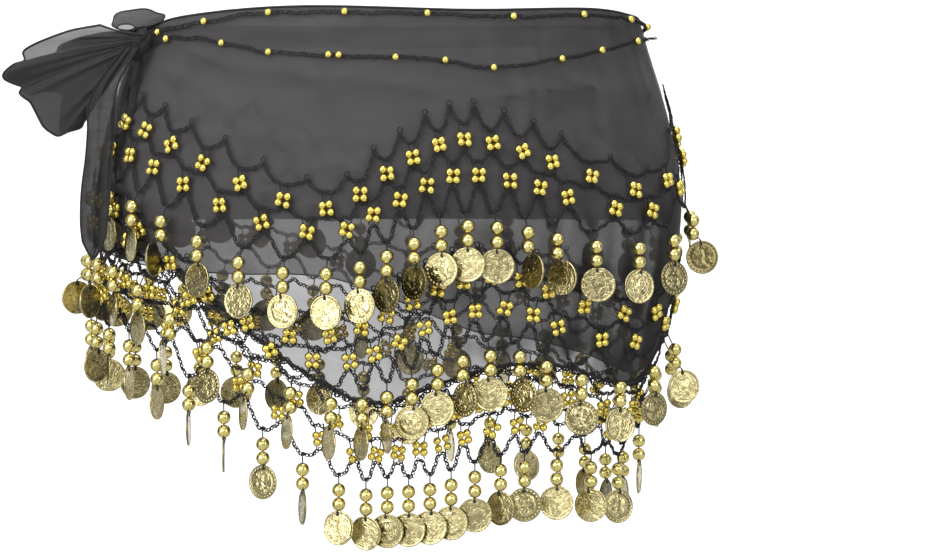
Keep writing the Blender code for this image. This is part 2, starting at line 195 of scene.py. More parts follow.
# Height of each bead chain, mm, and the turns where it carries a bead
TOP_CHAIN = (
    ("turn", "height"),
    (
        (0.080, -17.5), (0.094, -14), (0.131, -11), (0.178, -7), (0.27, -8), (0.33, -9), (0.40, -6),
        (0.48, -9), (0.55, -11), (0.66, -8), (0.84, -8), (0.95, -13),
    ),
)
TOP_BEADS = (
    0.086, 0.131, 0.178, 0.226, 0.275, 0.329, 0.384, 0.440, 0.492, 0.545, 0.60, 0.655, 0.71, 0.765, 0.82,
    0.87, 0.92,
)
BELLY_CHAIN = (
    ("turn", "height"),
    (
        (0.072, -26), (0.094, -20.5), (0.13, -21), (0.182, -30), (0.22, -32), (0.284, -35),
        (0.312, -39), (0.358, -33), (0.393, -27), (0.441, -20), (0.47, -18),
    ),
)
BELLY_BEADS = (0.076, 0.099, 0.149, 0.182, 0.218, 0.224, 0.256, 0.284, 0.312, 0.358, 0.393, 0.441)

# Soft ridges of the cloth as in the solids, then its finer creases: turn and height where each starts
# and where it ends, how far it stands out and its spread. Heights, rises and spreads are in mm.
RIDGES = (
    (0.105, -26, 0.270, -54, 2.6, 8), (0.120, -44, 0.165, -62, 2.0, 7), (0.172, -17, 0.250, -13, 1.8, 6),
    (0.310, -56, 0.400, -50, 2.0, 8), (0.560, -30, 0.700, -44, 2.4, 9), (0.780, -38, 0.930, -24, 2.6, 8),
)
CREASES = (
    (0.100, -23, 0.165, -40, 1.1, 2.4), (0.160, -39, 0.215, -46, 0.9, 2.2),
    (0.212, -46, 0.285, -55, 1.0, 2.8), (0.105, -33, 0.150, -50, -0.8, 2.2),
    (0.100, -38, 0.128, -57, 0.8, 2.0), (0.112, -44, 0.146, -48, 0.9, 2.4),
    (0.165, -16, 0.200, -20, 0.9, 2.0), (0.198, -20, 0.218, -25, 0.7, 1.8),
    (0.200, -18, 0.258, -12, 0.9, 2.2), (0.198, -44, 0.216, -52, 0.8, 1.8),
    (0.185, -83, 0.210, -93, 0.5, 2.4), (0.208, -92, 0.240, -107, 0.5, 2.6),
    (0.300, -60, 0.336, -53, 1.1, 2.4), (0.332, -53, 0.384, -50, 1.1, 2.6),
    (0.340, -41, 0.386, -52, 0.8, 2.2), (0.270, -15, 0.345, -14, -0.7, 1.8),
    (0.345, -14, 0.460, -12, -0.8, 1.8), (0.400, -30, 0.470, -24, 0.8, 2.6),
    (0.420, -60, 0.480, -40, 0.7, 3.0), (0.520, -22, 0.620, -34, 1.0, 2.6),
    (0.600, -52, 0.690, -46, 0.9, 2.4), (0.700, -20, 0.800, -30, -0.8, 2.4),
    (0.760, -44, 0.880, -33, 1.0, 2.6), (0.860, -50, 0.960, -30, 0.9, 2.4),
    (0.900, -20, 0.985, -24, 1.0, 2.2), (0.985, -30, 1.060, -24, 0.9, 2.4),
    (0.650, -80, 0.720, -95, 0.5, 3.0), (0.540, -150, 0.620, -170, 0.5, 4.0),
    (0.120, -120, 0.170, -150, 0.5, 4.0), (0.300, -150, 0.360, -175, 0.4, 4.0),
)

# Fan of cloth left of the knot: its edge, from the top ray round to the lowest, mm
FAN_EDGE = (
    ("place", "x", "y", "z"),
    (
        (0, -168.5, -48, -11), (1, -177.3, -47, -12.5), (2, -187, -45, -14.5), (3, -200.6, -42, -19),
        (4, -210.4, -40, -23), (5, -214.8, -40, -26.5), (6, -213.8, -41, -31.5), (7, -219.6, -43, -34),
        (8, -225.5, -43, -39), (9, -225.5, -41, -42.5), (10, -220.6, -38, -45), (11, -215.7, -37, -47),
        (12, -216.7, -39, -50.5), (13, -213.8, -41, -53.5), (14, -210.4, -42, -56),
        (15, -207, -40, -62.5), (16, -203.1, -37, -70), (17, -198.2, -37, -74), (18, -193.8, -39, -75.8),
        (19, -188, -42, -73.5), (20, -180.7, -40, -71), (21, -179.2, -39, -67), (22, -180.2, -41, -62.5),
        (23, -176.8, -44, -59.5), (24, -172.9, -47, -56.5),
    ),
)
FAN_LAST, FAN_PLEAT = 24, 2.4 * MM

# Where the fan's doubled cloth starts at each step out, in places of the edge, and its third ply's reach
FAN_DOUBLED = (
    (0, 1.0), (0.35, 1.7), (0.5, 2.4), (0.6, 3.3), (0.68, 4.6), (0.73, 6.0), (1.0, 6.1),
)
FAN_THIRD = (
    ("place", "reach"),
    (
        (6, 0.98), (12, 0.98), (13, 0.95), (14, 0.84), (15, 0.75), (16, 0.82), (17, 0.91), (18, 0.97),
        (24, 0.98),
    ),
)

# Hanging end: centre line and width, mm
TAIL = (
    ("place", "x", "y", "z", "width"),
    (
        (0, -149, -62, -25, 8), (1, -155, -62.5, -34, 9.5), (2, -162.5, -62, -46, 12),
        (3, -166.7, -61, -59, 15.2), (4, -166.8, -62, -74, 15.4), (5, -167.8, -64, -90, 15.2),
        (6, -169.2, -66, -110, 16.6), (7, -170.2, -66.5, -130, 15.6), (8, -170.2, -66, -149, 13.5),
    ),
)

# Cloth between the hanging end and the wrap: height and its two sides, from the knot down, mm
SIDE_FOLD = (
    ("place", "z", "left", "right"),
    (
        (0, -27, -153, -143), (0.25, -44, -157, -145.5), (0.5, -62, -160, -149.5),
        (0.75, -80, -162, -155), (1, -97, -163, -161),
    ),
)

# The loop's near opening and its far edge: middle, half width and half height, mm
LOOP_NEAR, LOOP_FAR = (-152.4, -13.0, 5.0, 1.9), (-147.2, -8.2, 14.4, 6.6)

# Where the wrap is gathered close, round the turns; there its colour is painted dark as shade
GATHERED_AND_SHADED = (
    ("turn", "close"),
    (
        (0.0, 0.0), (0.24, 0.0), (0.30, 0.26), (0.37, 0.40), (0.41, 0.60), (0.445, 0.85), (0.53, 0.85),
        (0.58, 0.3), (0.64, 0.1), (1.0, 0.0),
    ),
)

# Where the white wall starts behind the scarf, the radius of its sweep, and how far the stage reaches, m
WALL_FOOT, SWEEP, STAGE_REACH = 3.0, 1.5, 6.5

# Soft boxes: name, place, what it points at, size, power in watts
LIGHTS = (
    ("key", (-1.5, -2.2, 1.5), (0, 0, -0.15), (1.3, 1.3), 40),
    ("fill", (1.9, -1.9, 0.4), (0, 0, -0.15), (1.2, 1.6), 20),
    ("front_card", (0.35, -2.5, 0.55), (0, 0, -0.2), (0.5, 0.5), 5),
    ("left_card", (-2.1, -1.55, -0.1), (0, 0, -0.15), (0.6, 1.3), 12),
    ("top", (0.2, -0.4, 2.0), (0, 0, -0.15), (1.6, 1.2), 20),
    ("back_wall", (0.0, 2.4, 2.4), (0, 4.1, -0.3), (4.0, 1.4), 62),
)

# Grey of the surroundings from below to above, the way to their glow, and the camera's sensor, mm
SKY_STOPS = ((0.0, 0.30), (0.40, 0.13), (0.56, 0.30), (0.85, 1.0))
GLOW_WAY = (-0.53, -0.846, 0.06)
SENSOR = 36

FLOAT, COLOUR = "NodeSocketFloat", "NodeSocketColor"
GROUPS, LOOKS, TREES = {}, {}, {}


def length(label, text, default):
    return FloatProperty(name=label, description=text, default=default, unit="LENGTH")


def tint(label, text, default):
    return FloatVectorProperty(name=label, description=text, default=default, subtype="COLOR")


class ClothSizes(bpy.types.PropertyGroup):
    turn_steps: IntProperty(name="Steps Round", description="Faces round the hips", default=400, min=80)
    drop_steps: IntProperty(name="Steps Down", description="Faces from top edge to hem", default=72, min=20)
    sheer: FloatProperty(
        name="Cover", description="Share of light that one ply stops", default=0.70, subtype="FACTOR"
    )
    hem: length("Hem Roll", "Radius of the rolled hem", 0.9 * MM)
    colour: tint("Cloth", "Colour of the chiffon", (0.037, 0.035, 0.037))


class NetSizes(bpy.types.PropertyGroup):
    strand: length("Strand", "Radius of one yarn strand", 0.40 * MM)
    wide: length("Plait Width", "Sideways swing of the plait", 1.12 * MM)
    deep: length("Plait Depth", "In and out swing of the plait", 0.40 * MM)
    pitch: length("Stitch", "Length of one plait turn", 4.9 * MM)
    bead: length("Flower Bead", "Radius of a bead in a flower", 2.4 * MM)
    colour: tint("Yarn", "Colour of the yarn", (0.005, 0.005, 0.006))


class PendantSizes(bpy.types.PropertyGroup):
    coin: length("Coin", "Radius of a coin", 10 * MM)
    thick: length("Coin Thickness", "Thickness at the coin's field", 0.7 * MM)
    bead: length("Large Bead", "Radius of a pendant's bead", 4.0 * MM)
    gold: tint("Coin Gold", "Colour of the coins", (0.80, 0.71, 0.38))
    pale: tint("Large Bead Gold", "Colour of the large beads", (0.78, 0.68, 0.26))
    deep: tint("Small Bead Gold", "Colour of the small beads", (0.84, 0.69, 0.17))


class StageSizes(bpy.types.PropertyGroup):
    distance: length("Camera Distance", "From the hips' centre", 2.2)
    view_width: length("View Width", "Width seen at the hips", 0.5658)
    aim_x: length("Aim Across", "View centre from the hips' centre", 49.5 * MM)
    aim_z: length("Aim Height", "View centre from the waist", -158.4 * MM)
    floor: length("Floor Height", "Floor below the waist", -0.62)


def clamp(value, low=0, high=1):
    return min(max(value, low), high)


def eased(share):
    return share * share * (3 - 2 * share)


def smooth(table, name, at):
    """A named column of a table at a place in its first column, on a soft curve through the rows."""
    columns, rows = table
    which = columns.index(name)
    places = [row[0] for row in rows]
    values = [row[which] for row in rows]
    i = clamp(bisect.bisect_right(places, at) - 1, 0, len(rows) - 2)

    def slope(k):
        before, after = max(k - 1, 0), min(k + 1, len(rows) - 1)
        return (values[after] - values[before]) / (places[after] - places[before])

    step = places[i + 1] - places[i]
    t = clamp((at - places[i]) / step)
    ends = values[i] + (values[i + 1] - values[i]) * eased(t)
    return ends + step * t * (1 - t) * (slope(i) * (1 - t) - slope(i + 1) * t)


def straight(rows, at):
    """The second number of two in a row, on straight lines between the rows."""
    i = clamp(bisect.bisect_right([row[0] for row in rows], at) - 1, 0, len(rows) - 2)
    (x0, y0), (x1, y1) = rows[i], rows[i + 1]
    return y0 + (y1 - y0) * (at - x0) / (x1 - x0)


def half_width(height):
    return smooth(HIP, "half_width", height / MM) * MM


def line(name, turn):
    return smooth(NET_LINES, name, turn % 1) * MM


def top_edge(turn):
    return smooth(TOP_EDGE, "height", turn % 1) * MM


def flare(turn, height):
    """How far the scarf's free corner stands off under the knot."""
    side = (turn + 0.5) % 1 - 0.5
    return FLARE * math.exp(-((side / FLARE_TURN) ** 2)) * eased(clamp((FLARE_TOP - height) / FLARE_RUN))


def folds(rows, turn, height):
    """How far some folds stand out here."""
    out = 0.0
    round_hip = 2 * math.pi * half_width(height) / MM
    for turn_a, az, turn_b, bz, rise, spread in rows:
        ax, dx, dz = turn_a * round_hip, (turn_b - turn_a) * round_hip, bz - az
        px, pz = turn * round_hip - ax, height / MM - az
        along = clamp((px * dx + pz * dz) / (dx * dx + dz * dz))
        away = math.hypot(px - along * dx, pz - along * dz) / spread
        if away < 3:
            out += rise * math.exp(-away * away) * math.sin(math.pi * (0.1 + 0.8 * along))
    return out * MM


def on_oval(turn, height, reach, out):
    angle = 2 * math.pi * turn
    across, deep = reach + out, DEPTH_TO_WIDTH * reach + out
    return Vector((-across * math.cos(angle), -deep * math.sin(angle), height))


def on_hip(turn, height, out=0.0):
    """A point out from the cloth's outer face."""
    out += flare(turn, height) + folds(RIDGES, turn % 1, height)
    return on_oval(turn, height, half_width(height), out)


def sideways(turn, height, distance):
    """The change of turn that moves a point this far round the hip."""
    angle, reach = 2 * math.pi * turn, half_width(height)
    speed = math.hypot(reach * math.sin(angle), DEPTH_TO_WIDTH * reach * math.cos(angle))
    return distance / (2 * math.pi * speed)


def halves(columns):
    """Each half of a net: its name and the turns of its columns."""
    first, last = columns
    front = [straight(FRONT_COLUMNS, column) for column in range(first, last + 1)]
    back = [straight(BACK_COLUMNS, column) for column in range(LAST_BACK + 1)]
    return (("front", front), ("back", back))


def net_out(tier):
    return HEM_NET_OUT if tier == 3 else NET_OUT


def level(tier, turn, part):
    """Height in a net, from 0 at its top line to 1 at the last valleys."""
    top = line(f"top_{tier}", turn) - (STRAND_HALF + NODE_GAP if tier == 3 else 0)
    return top + (line(f"foot_{tier}", turn) - top) * part


def wander(seed, at, size):
    """A smooth number from about -size to size that changes along a line."""
    return noise.noise(Vector((at, seed * 7.31, seed * 3.7))) * size * 1.6


def put(tree, node, inputs):
    """A node's inputs, each set to a value or linked to a socket."""
    for key, value in inputs.items():
        if isinstance(value, bpy.types.NodeSocket):
            tree.links.new(value, node.inputs[key])
        else:
            node.inputs[key].default_value = value


def add(tree, kind, inputs=None, **settings):
    """A node with its settings and inputs."""
    made = tree.nodes.new(kind)
    for key, value in settings.items():
        setattr(made, key, value)
    put(tree, made, inputs or {})
    return made


def maths(tree, operation, *values):
    return add(tree, "ShaderNodeMath", dict(enumerate(values)), operation=operation).outputs[0]


def vectors(tree, operation, inputs, output="Vector"):
    return add(tree, "ShaderNodeVectorMath", inputs, operation=operation).outputs[output]


def ranged(tree, value, low, high, to_low=0.0, to_high=1.0):
    limits = {"From Min": low, "From Max": high, "To Min": to_low, "To Max": to_high}
    return add(tree, "ShaderNodeMapRange", {"Value": value, **limits}).outputs["Result"]


def mixed(tree, share, first, second):
    """A blend of two colours."""
    return add(tree, "ShaderNodeMix", {0: share, 6: first, 7: second}, data_type="RGBA").outputs[2]


def between(tree, share, first, second):
    """A blend of two numbers."""
    return add(tree, "ShaderNodeMix", {0: share, 2: first, 3: second}).outputs[0]


def attribute(tree, name, output="Fac"):
    return add(tree, "ShaderNodeAttribute", attribute_name=name).outputs[output]


def grain(tree, place, scale, detail, more=None):
    values = {"Vector": place, "Scale": scale, "Detail": detail, **(more or {})}
    return add(tree, "ShaderNodeTexNoise", values).outputs["Fac"]


def object_place(tree, turned=None, scaled=None):
    """The place on the object, which may be turned and scaled."""
    place = add(tree, "ShaderNodeTexCoord").outputs["Object"]
    if turned is None:
        return place
    return add(tree, "ShaderNodeMapping", {"Vector": place, "Rotation": turned, "Scale": scaled}).outputs[0]


def opaque(colour, red=1.0, green=None, blue=None):
    """A colour times one number or one for each channel, with full alpha."""
    return (colour[0] * red, colour[1] * (green or red), colour[2] * (blue or red), 1)


def group(name, inputs, outputs):
    """An empty shader node group with named sockets, and its two ends."""
    tree = bpy.data.node_groups.new(name, "ShaderNodeTree")
    for label, kind, default in inputs:
        socket = tree.interface.new_socket(name=label, in_out="INPUT", socket_type=kind)
        if default is not None:
            socket.default_value = default
    for label, kind in outputs:
        tree.interface.new_socket(name=label, in_out="OUTPUT", socket_type=kind)
    return tree, tree.nodes.new("NodeGroupInput").outputs, tree.nodes.new("NodeGroupOutput")


def fine_weave():
    """Crossed threads with a soft crinkle: a tone and a height."""
    tree, given, end = group(
        "fine_weave",
        (("Threads", FLOAT, 900.0), ("Crinkle", FLOAT, 60.0), ("Crinkle Depth", FLOAT, 1.0)),
        (("Tone", FLOAT), ("Height", FLOAT)),
    )
    waves = {"Vector": object_place(tree), "Scale": given["Threads"], "Distortion": 1.5}
    across, down = (
        add(tree, "ShaderNodeTexWave", waves, bands_direction=way).outputs["Fac"] for way in ("X", "Z")
    )
    threads = maths(tree, "MULTIPLY", maths(tree, "MULTIPLY", across, down), 0.08)
    stretched = object_place(tree, (0, 0.25, 0), (0.6, 0.6, 1.6))
    crinkled = grain(tree, stretched, given["Crinkle"], 6.0, {"Distortion": 0.6})
    deep = maths(tree, "MULTIPLY", crinkled, given["Crinkle Depth"])
    put(tree, end, {"Tone": crinkled, "Height": maths(tree, "ADD", deep, threads)})
    return tree


def worn_metal():
    """Tarnish that gathers in patches, with fine scratches."""
    tree, given, end = group(
        "worn_metal",
        (
            ("Bright", COLOUR, None), ("Tarnished", COLOUR, None), ("Tarnish", FLOAT, 0.3),
            ("Patches", FLOAT, 160.0), ("Polish", FLOAT, 0.25), ("Scratches", FLOAT, 0.3),
        ),
        (("Colour", COLOUR), ("Roughness", FLOAT), ("Height", FLOAT)),
    )
    patch = grain(tree, object_place(tree), given["Patches"], 5.0)
    mask = maths(tree, "MULTIPLY", ranged(tree, patch, 0.35, 0.68), given["Tarnish"])
    scratch = grain(tree, object_place(tree, (0.4, 0.7, 0.2), (0.25, 3.0, 3.0)), 900.0, 3.0)
    put(tree, end, {
        "Colour": mixed(tree, mask, given["Bright"], given["Tarnished"]),
        "Roughness": maths(tree, "ADD", given["Polish"], maths(tree, "MULTIPLY", mask, 0.35)),
        "Height": maths(tree, "MULTIPLY", scratch, given["Scratches"]),
    })
    return tree


def coin_relief():
    """The raised pattern of a coin from its own coordinates: dots, an arc and worn lumps, or faint rings."""
    tree, given, end = group(
        "coin_relief",
        (("Dots", FLOAT, COIN_DOTS), ("Arc Radius", FLOAT, 0.70), ("Worn Scale", FLOAT, 2.6)),
        (("Height", FLOAT),),
    )
    at = add(tree, "ShaderNodeSeparateXYZ", {0: attribute(tree, "coin_at", "Vector")}).outputs
    flat = add(tree, "ShaderNodeCombineXYZ", {0: at["X"], 1: at["Z"]}).outputs[0]
    reach = vectors(tree, "LENGTH", {0: flat}, "Value")
    angle = maths(tree, "ARCTAN2", at["Z"], at["X"])

    def band(centre, half):
        away = maths(tree, "ABSOLUTE", maths(tree, "SUBTRACT", reach, centre))
        return ranged(tree, away, half, half * 0.4)

    dots = maths(tree, "MAXIMUM", maths(tree, "COSINE", maths(tree, "MULTIPLY", angle, given["Dots"])), 0.0)
    dots = maths(tree, "MULTIPLY", dots, band(0.85, 0.06))
    upper = maths(tree, "GREATER_THAN", maths(tree, "SINE", maths(tree, "ADD", angle, ARC_START)), ARC_FROM)
    arc = maths(tree, "MULTIPLY", band(given["Arc Radius"], 0.035), upper)
    lumps = {
        "Vector": flat, "W": maths(tree, "MULTIPLY", attribute(tree, "tone"), 31.0),
        "Scale": given["Worn Scale"], "Detail": 1.2, "Distortion": 1.6,
    }
    worn = add(tree, "ShaderNodeTexNoise", lumps, noise_dimensions="4D").outputs["Fac"]
    motif = ranged(tree, worn, 0.47, 0.57)
    middle = maths(tree, "MULTIPLY", motif, ranged(tree, reach, 0.66, 0.56))
    raised = maths(tree, "ADD", maths(tree, "ADD", dots, arc), middle)
    rings = maths(tree, "MULTIPLY", maths(tree, "SINE", maths(tree, "MULTIPLY", reach, 44.0)), 0.03)
    plain = maths(tree, "ADD", rings, maths(tree, "MULTIPLY", motif, 0.30))
    put(tree, end, {"Height": between(tree, at["Y"], plain, raised)})
    return tree


def look(name):
    """A new material, kept under its name, with its tree and its plain Principled shader."""
    LOOKS[name] = made = bpy.data.materials.new(name)
    made.use_nodes = True
    return made.node_tree, made.node_tree.nodes["Principled BSDF"]


def bump(tree, shader, height, distance):
    made = add(tree, "ShaderNodeBump", {"Height": height, "Distance": distance})
    put(tree, shader, {"Normal": made.outputs["Normal"]})


def chiffon(name, sizes, cover, crinkled=60.0, depth=0.5 * MM, painted_shade=1.0):
    """Matt black cloth that lets part of the light through. Cover is the share that it stops. Its colour is
    painted darker as shade by the painted shade factor, and more where the cloth is marked as gathered.
    """
    tree, shader = look(name)
    weave = add(tree, "ShaderNodeGroup", {"Crinkle": crinkled}, node_tree=GROUPS["fine_weave"]).outputs
    close = attribute(tree, "gather")
    dark = [c * painted_shade for c in sizes.colour]
    tone = mixed(tree, weave["Tone"], opaque(dark), opaque(dark, 2.0))
    thin = ranged(tree, weave["Tone"], 0.0, 1.0, cover - 0.05, min(cover + 0.05, 1.0))
    put(tree, shader, {
        # Painted shade: gathered cloth turns towards a darker copy of its colour
        "Base Color": mixed(tree, close, tone, opaque(dark, GATHERED_PAINTED_SHADE)),
        "Alpha": between(tree, close, thin, GATHERED_COVER),
        "Roughness": 0.72, "Specular IOR Level": 0.25, "Sheen Weight": 0.04, "Sheen Roughness": 0.5,
    })
    bump(tree, shader, weave["Height"], depth)


def yarn(sizes):
    tree, shader = look("yarn_black")
    fibre = grain(tree, object_place(tree), 2600.0, 4.0)
    tone = mixed(tree, fibre, opaque(sizes.colour), opaque(sizes.colour, 2.4))
    put(tree, shader, {"Base Color": tone, "Roughness": 0.55, "Specular IOR Level": 0.35})
    bump(tree, shader, fibre, 0.12 * MM)


def gold(name, bright, tarnish, polish, patches, scratches, coined=False):
    """Thin gold finish, with painted shade at a bead's rim, or with relief, painted shade in the relief's
    recesses and each coin's tone, which paints the D coins darker all over as shade.
    """
    tree, shader = look(name)
    values = {
        "Bright": opaque(bright), "Tarnished": opaque(bright, 0.42, 0.36, 0.30), "Tarnish": tarnish,
        "Polish": polish, "Patches": patches, "Scratches": scratches,
    }
    worn = add(tree, "ShaderNodeGroup", values, node_tree=GROUPS["worn_metal"]).outputs
    height, distance = worn["Height"], 0.10 * MM
    if coined:
        relief = add(tree, "ShaderNodeGroup", node_tree=GROUPS["coin_relief"]).outputs["Height"]
        # Painted shade: the coin's recesses turn darker, and a D coin darker all over through its tone
        shaded = maths(tree, "MAXIMUM", attribute(tree, "tone"), ranged(tree, relief, 0.5, 0.0, 0.0, 0.62))
        dark = opaque(bright, 0.22, 0.21, 0.17)
        height, distance = maths(tree, "MULTIPLY_ADD", height, 0.25, relief), 0.32 * MM
    else:
        # Painted shade: a bead's rim, where it faces away from the view, turns darker
        facing = add(tree, "ShaderNodeLayerWeight", {"Blend": 0.5}).outputs["Facing"]
        shaded, dark = ranged(tree, facing, 0.35, 0.95, 0.0, 0.8), opaque(bright, 0.30, 0.26, 0.20)
    colour = mixed(tree, shaded, worn["Colour"], dark)
    put(tree, shader, {"Base Color": colour, "Roughness": worn["Roughness"], "Metallic": 1.0})
    bump(tree, shader, height, distance)


def placed(name, mesh, material_name):
    made = bpy.data.objects.new(name, mesh)
    if not mesh.materials:
        mesh.materials.append(LOOKS[material_name])
    bpy.context.scene.collection.objects.link(made)
    return made


def grown(name, source, tree, values, material_name):
    """The mesh that a Geometry Nodes tree makes from a source mesh, as a plain object at the origin."""
    holder = bpy.data.objects.new(name + "_source", source)
    bpy.context.scene.collection.objects.link(holder)
    modifier = holder.modifiers.new("Grow", "NODES")
    modifier.node_group = tree
    values = dict(values, Material=LOOKS[material_name])
    for item in tree.interface.items_tree:
        if item.item_type == "SOCKET" and item.in_out == "INPUT" and item.name in values:
            modifier[item.identifier] = values[item.name]
    graph = bpy.context.evaluated_depsgraph_get()
    whole = holder.evaluated_get(graph)
    mesh = bpy.data.meshes.new_from_object(whole, preserve_all_data_layers=True, depsgraph=graph)
    mesh.name = name
    bpy.data.objects.remove(holder)
    return placed(name, mesh, material_name)


def mesh_piece(name, bm, material_name):
    mesh = bpy.data.meshes.new(name)
    bm.to_mesh(mesh)
    bm.free()
    mesh.shade_smooth()
    return placed(name, mesh, material_name)


def fitted(piece, slot_name, *nodes):
    """Every piece rides on the one body and may stand for solids; its slot's name is not used."""
    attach(piece, "root")
    if nodes:
        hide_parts(*nodes)
    return piece


def grow_tree(name, sockets):
    """An empty Geometry Nodes tree with its sizes and material as named inputs."""
    tree = bpy.data.node_groups.new(name, "GeometryNodeTree")

    def socket(label, way, kind):
        return tree.interface.new_socket(name=label, in_out=way, socket_type=kind)

    socket("Geometry", "INPUT", "NodeSocketGeometry")
    for label, default in sockets:
        socket(label, "INPUT", FLOAT).default_value = default
    socket("Material", "INPUT", "NodeSocketMaterial")
    socket("Geometry", "OUTPUT", "NodeSocketGeometry")
    return tree, tree.nodes.new("NodeGroupInput").outputs, tree.nodes.new("NodeGroupOutput")


def close_tree(tree, given, end, geometry):
    """Realised, shaded smooth and with its material."""
    real = add(tree, "GeometryNodeRealizeInstances", {0: geometry}).outputs[0]
    soft = add(tree, "GeometryNodeSetShadeSmooth", {0: real}).outputs[0]
    done = add(tree, "GeometryNodeSetMaterial", {0: soft, "Material": given["Material"]}).outputs[0]
    put(tree, end, {0: done})
    return tree


def tube_nodes(tree, curve, sides, radius):
    ring = {"Resolution": sides, "Radius": radius}
    profile = add(tree, "GeometryNodeCurvePrimitiveCircle", ring).outputs[0]
    return add(tree, "GeometryNodeCurveToMesh", {0: curve, 1: profile, "Fill Caps": True}).outputs[0]


def plait_tree():
    """Three strands plaited flat on the hip along each line, as a crochet chain lies."""
    names = ("Strand", "Wide", "Deep", "Pitch", "Step")
    tree, given, end = grow_tree("plait", zip(names, (0.4 * MM, 0.7 * MM, 0.3 * MM, 6 * MM, 0.9 * MM)))
    curve = add(tree, "GeometryNodeMeshToCurve", {0: given["Geometry"]}).outputs[0]
    steps = {"Curve": curve, "Length": given["Step"]}
    even = add(tree, "GeometryNodeResampleCurve", steps, mode="LENGTH").outputs[0]
    place = add(tree, "GeometryNodeInputPosition").outputs[0]
    level_way = vectors(tree, "MULTIPLY", {0: place, 1: (1, 1 / DEPTH_TO_WIDTH**2, 0)})
    out = vectors(tree, "NORMALIZE", {0: level_way})
    tangent = add(tree, "GeometryNodeInputTangent").outputs[0]
    side = vectors(tree, "NORMALIZE", {0: vectors(tree, "CROSS_PRODUCT", {0: tangent, 1: out})})
    length_on = add(tree, "GeometryNodeSplineParameter").outputs["Length"]
    angle = maths(tree, "MULTIPLY", maths(tree, "DIVIDE", length_on, given["Pitch"]), 2 * math.pi)
    join = add(tree, "GeometryNodeJoinGeometry")
    for strand_number in range(3):
        drift = maths(tree, "MULTIPLY_ADD", angle, 0.23, strand_number * 2.1)
        ahead = maths(tree, "MULTIPLY_ADD", maths(tree, "SINE", drift), 0.8, angle)
        phase = maths(tree, "ADD", ahead, strand_number * 2 * math.pi / 3)
        double = maths(tree, "SINE", maths(tree, "MULTIPLY", phase, 2.0))
        swing = maths(tree, "MULTIPLY", maths(tree, "SINE", phase), given["Wide"])
        across = vectors(tree, "SCALE", {0: side, "Scale": swing})
        proud = vectors(tree, "SCALE", {0: out, "Scale": maths(tree, "MULTIPLY", double, given["Deep"])})
        offset = vectors(tree, "ADD", {0: across, 1: proud})
        moved = add(tree, "GeometryNodeSetPosition", {0: even, "Offset": offset}).outputs[0]
        tree.links.new(tube_nodes(tree, moved, PLAIT_SIDES, given["Strand"]), join.inputs[0])
    return close_tree(tree, given, end, join.outputs[0])


def thread_tree():
    """One plain round thread along each line."""
    tree, given, end = grow_tree("thread", (("Radius", 0.4 * MM), ("Sides", 5.0)))
    curve = add(tree, "GeometryNodeMeshToCurve", {0: given["Geometry"]}).outputs[0]
    return close_tree(tree, given, end, tube_nodes(tree, curve, given["Sides"], given["Radius"]))


def copies_tree(shape=None):
    """A bead, or a copy of a given shape, on each point, turned by the point's own angles."""
    sizes = (("Radius", 4 * MM), ("Segments", 12.0), ("Rings", 8.0))
    tree, given, end = grow_tree("copies" if shape else "beads", sizes)
    if shape:
        item = add(tree, "GeometryNodeObjectInfo", {0: shape}).outputs["Geometry"]
    else:
        item = add(tree, "GeometryNodeMeshUVSphere", {name: given[name] for name, _ in sizes}).outputs[0]
    facing = add(tree, "GeometryNodeInputNamedAttribute", {"Name": "facing"}, data_type="FLOAT_VECTOR")
    points = add(tree, "GeometryNodeMeshToPoints", {0: given["Geometry"]}).outputs[0]
    values = {"Points": points, "Instance": item, "Rotation": facing.outputs["Attribute"]}
    return close_tree(tree, given, end, add(tree, "GeometryNodeInstanceOnPoints", values).outputs[0])


def mark(mesh, name, values, kind="value"):
    """A number, or a vector, for each point of a mesh."""
    mesh.attributes.new(name, "FLOAT" if kind == "value" else "FLOAT_VECTOR", "POINT")
    mesh.attributes[name].data.foreach_set(kind, values)


def lines_mesh(paths):
    """A mesh of loose lines, one for each path."""
    points, edges = [], []
    for path in paths:
        edges += [(len(points) + i, len(points) + i + 1) for i in range(len(path) - 1)]
        points += path
    mesh = bpy.data.meshes.new("lines")
    mesh.from_pydata(points, edges, [])
    return mesh


def points_mesh(rows):
    """A mesh of loose points with the facing angles and tone of each."""
    mesh = bpy.data.meshes.new("places")
    mesh.from_pydata([row[0] for row in rows], [], [])
    mark(mesh, "facing", [a for row in rows for a in row[1]], "vector")
    mark(mesh, "tone", [row[2] for row in rows])
    return mesh


def tubes(name, paths, radius, material_name, sides=6):
    """Round rolls or threads along lines, as one piece."""
    return grown(name, lines_mesh(paths), TREES["thread"], {"Radius": radius, "Sides": sides}, material_name)


def rolled(name, paths, radius):
    """Rolled or folded edges of the cloth."""
    # The rolled edges take the cloth whose colour is painted darker as shade
    return fitted(tubes(name, paths, radius, "chiffon_gathered_painted_shade"), "chiffon")


def threads_piece(name, paths, radius, sides=5):
    return fitted(tubes(name, paths, radius, "yarn_black", sides), "yarn")


def plaited(name, paths, sizes, wider, step, *nodes):
    """Crochet chains along lines."""
    values = {"Strand": sizes.strand, "Wide": sizes.wide * wider, "Deep": sizes.deep}
    values.update(Pitch=sizes.pitch, Step=step)
    return fitted(grown(name, lines_mesh(paths), TREES["plait"], values, "yarn_black"), "yarn", *nodes)


def beads_piece(name, points, radius, segments, rings, material_name, slot_name="gold", nodes=()):
    values = {"Radius": radius, "Segments": segments, "Rings": rings}
    beads = grown(name, points_mesh(points), TREES["beads"], values, material_name)
    return fitted(beads, slot_name, *nodes)


def tumbled(place, chance):
    """A bead's row: its place and two turns by chance."""
    return place, (chance.uniform(0, 3), chance.uniform(0, 3), 0), 0.0


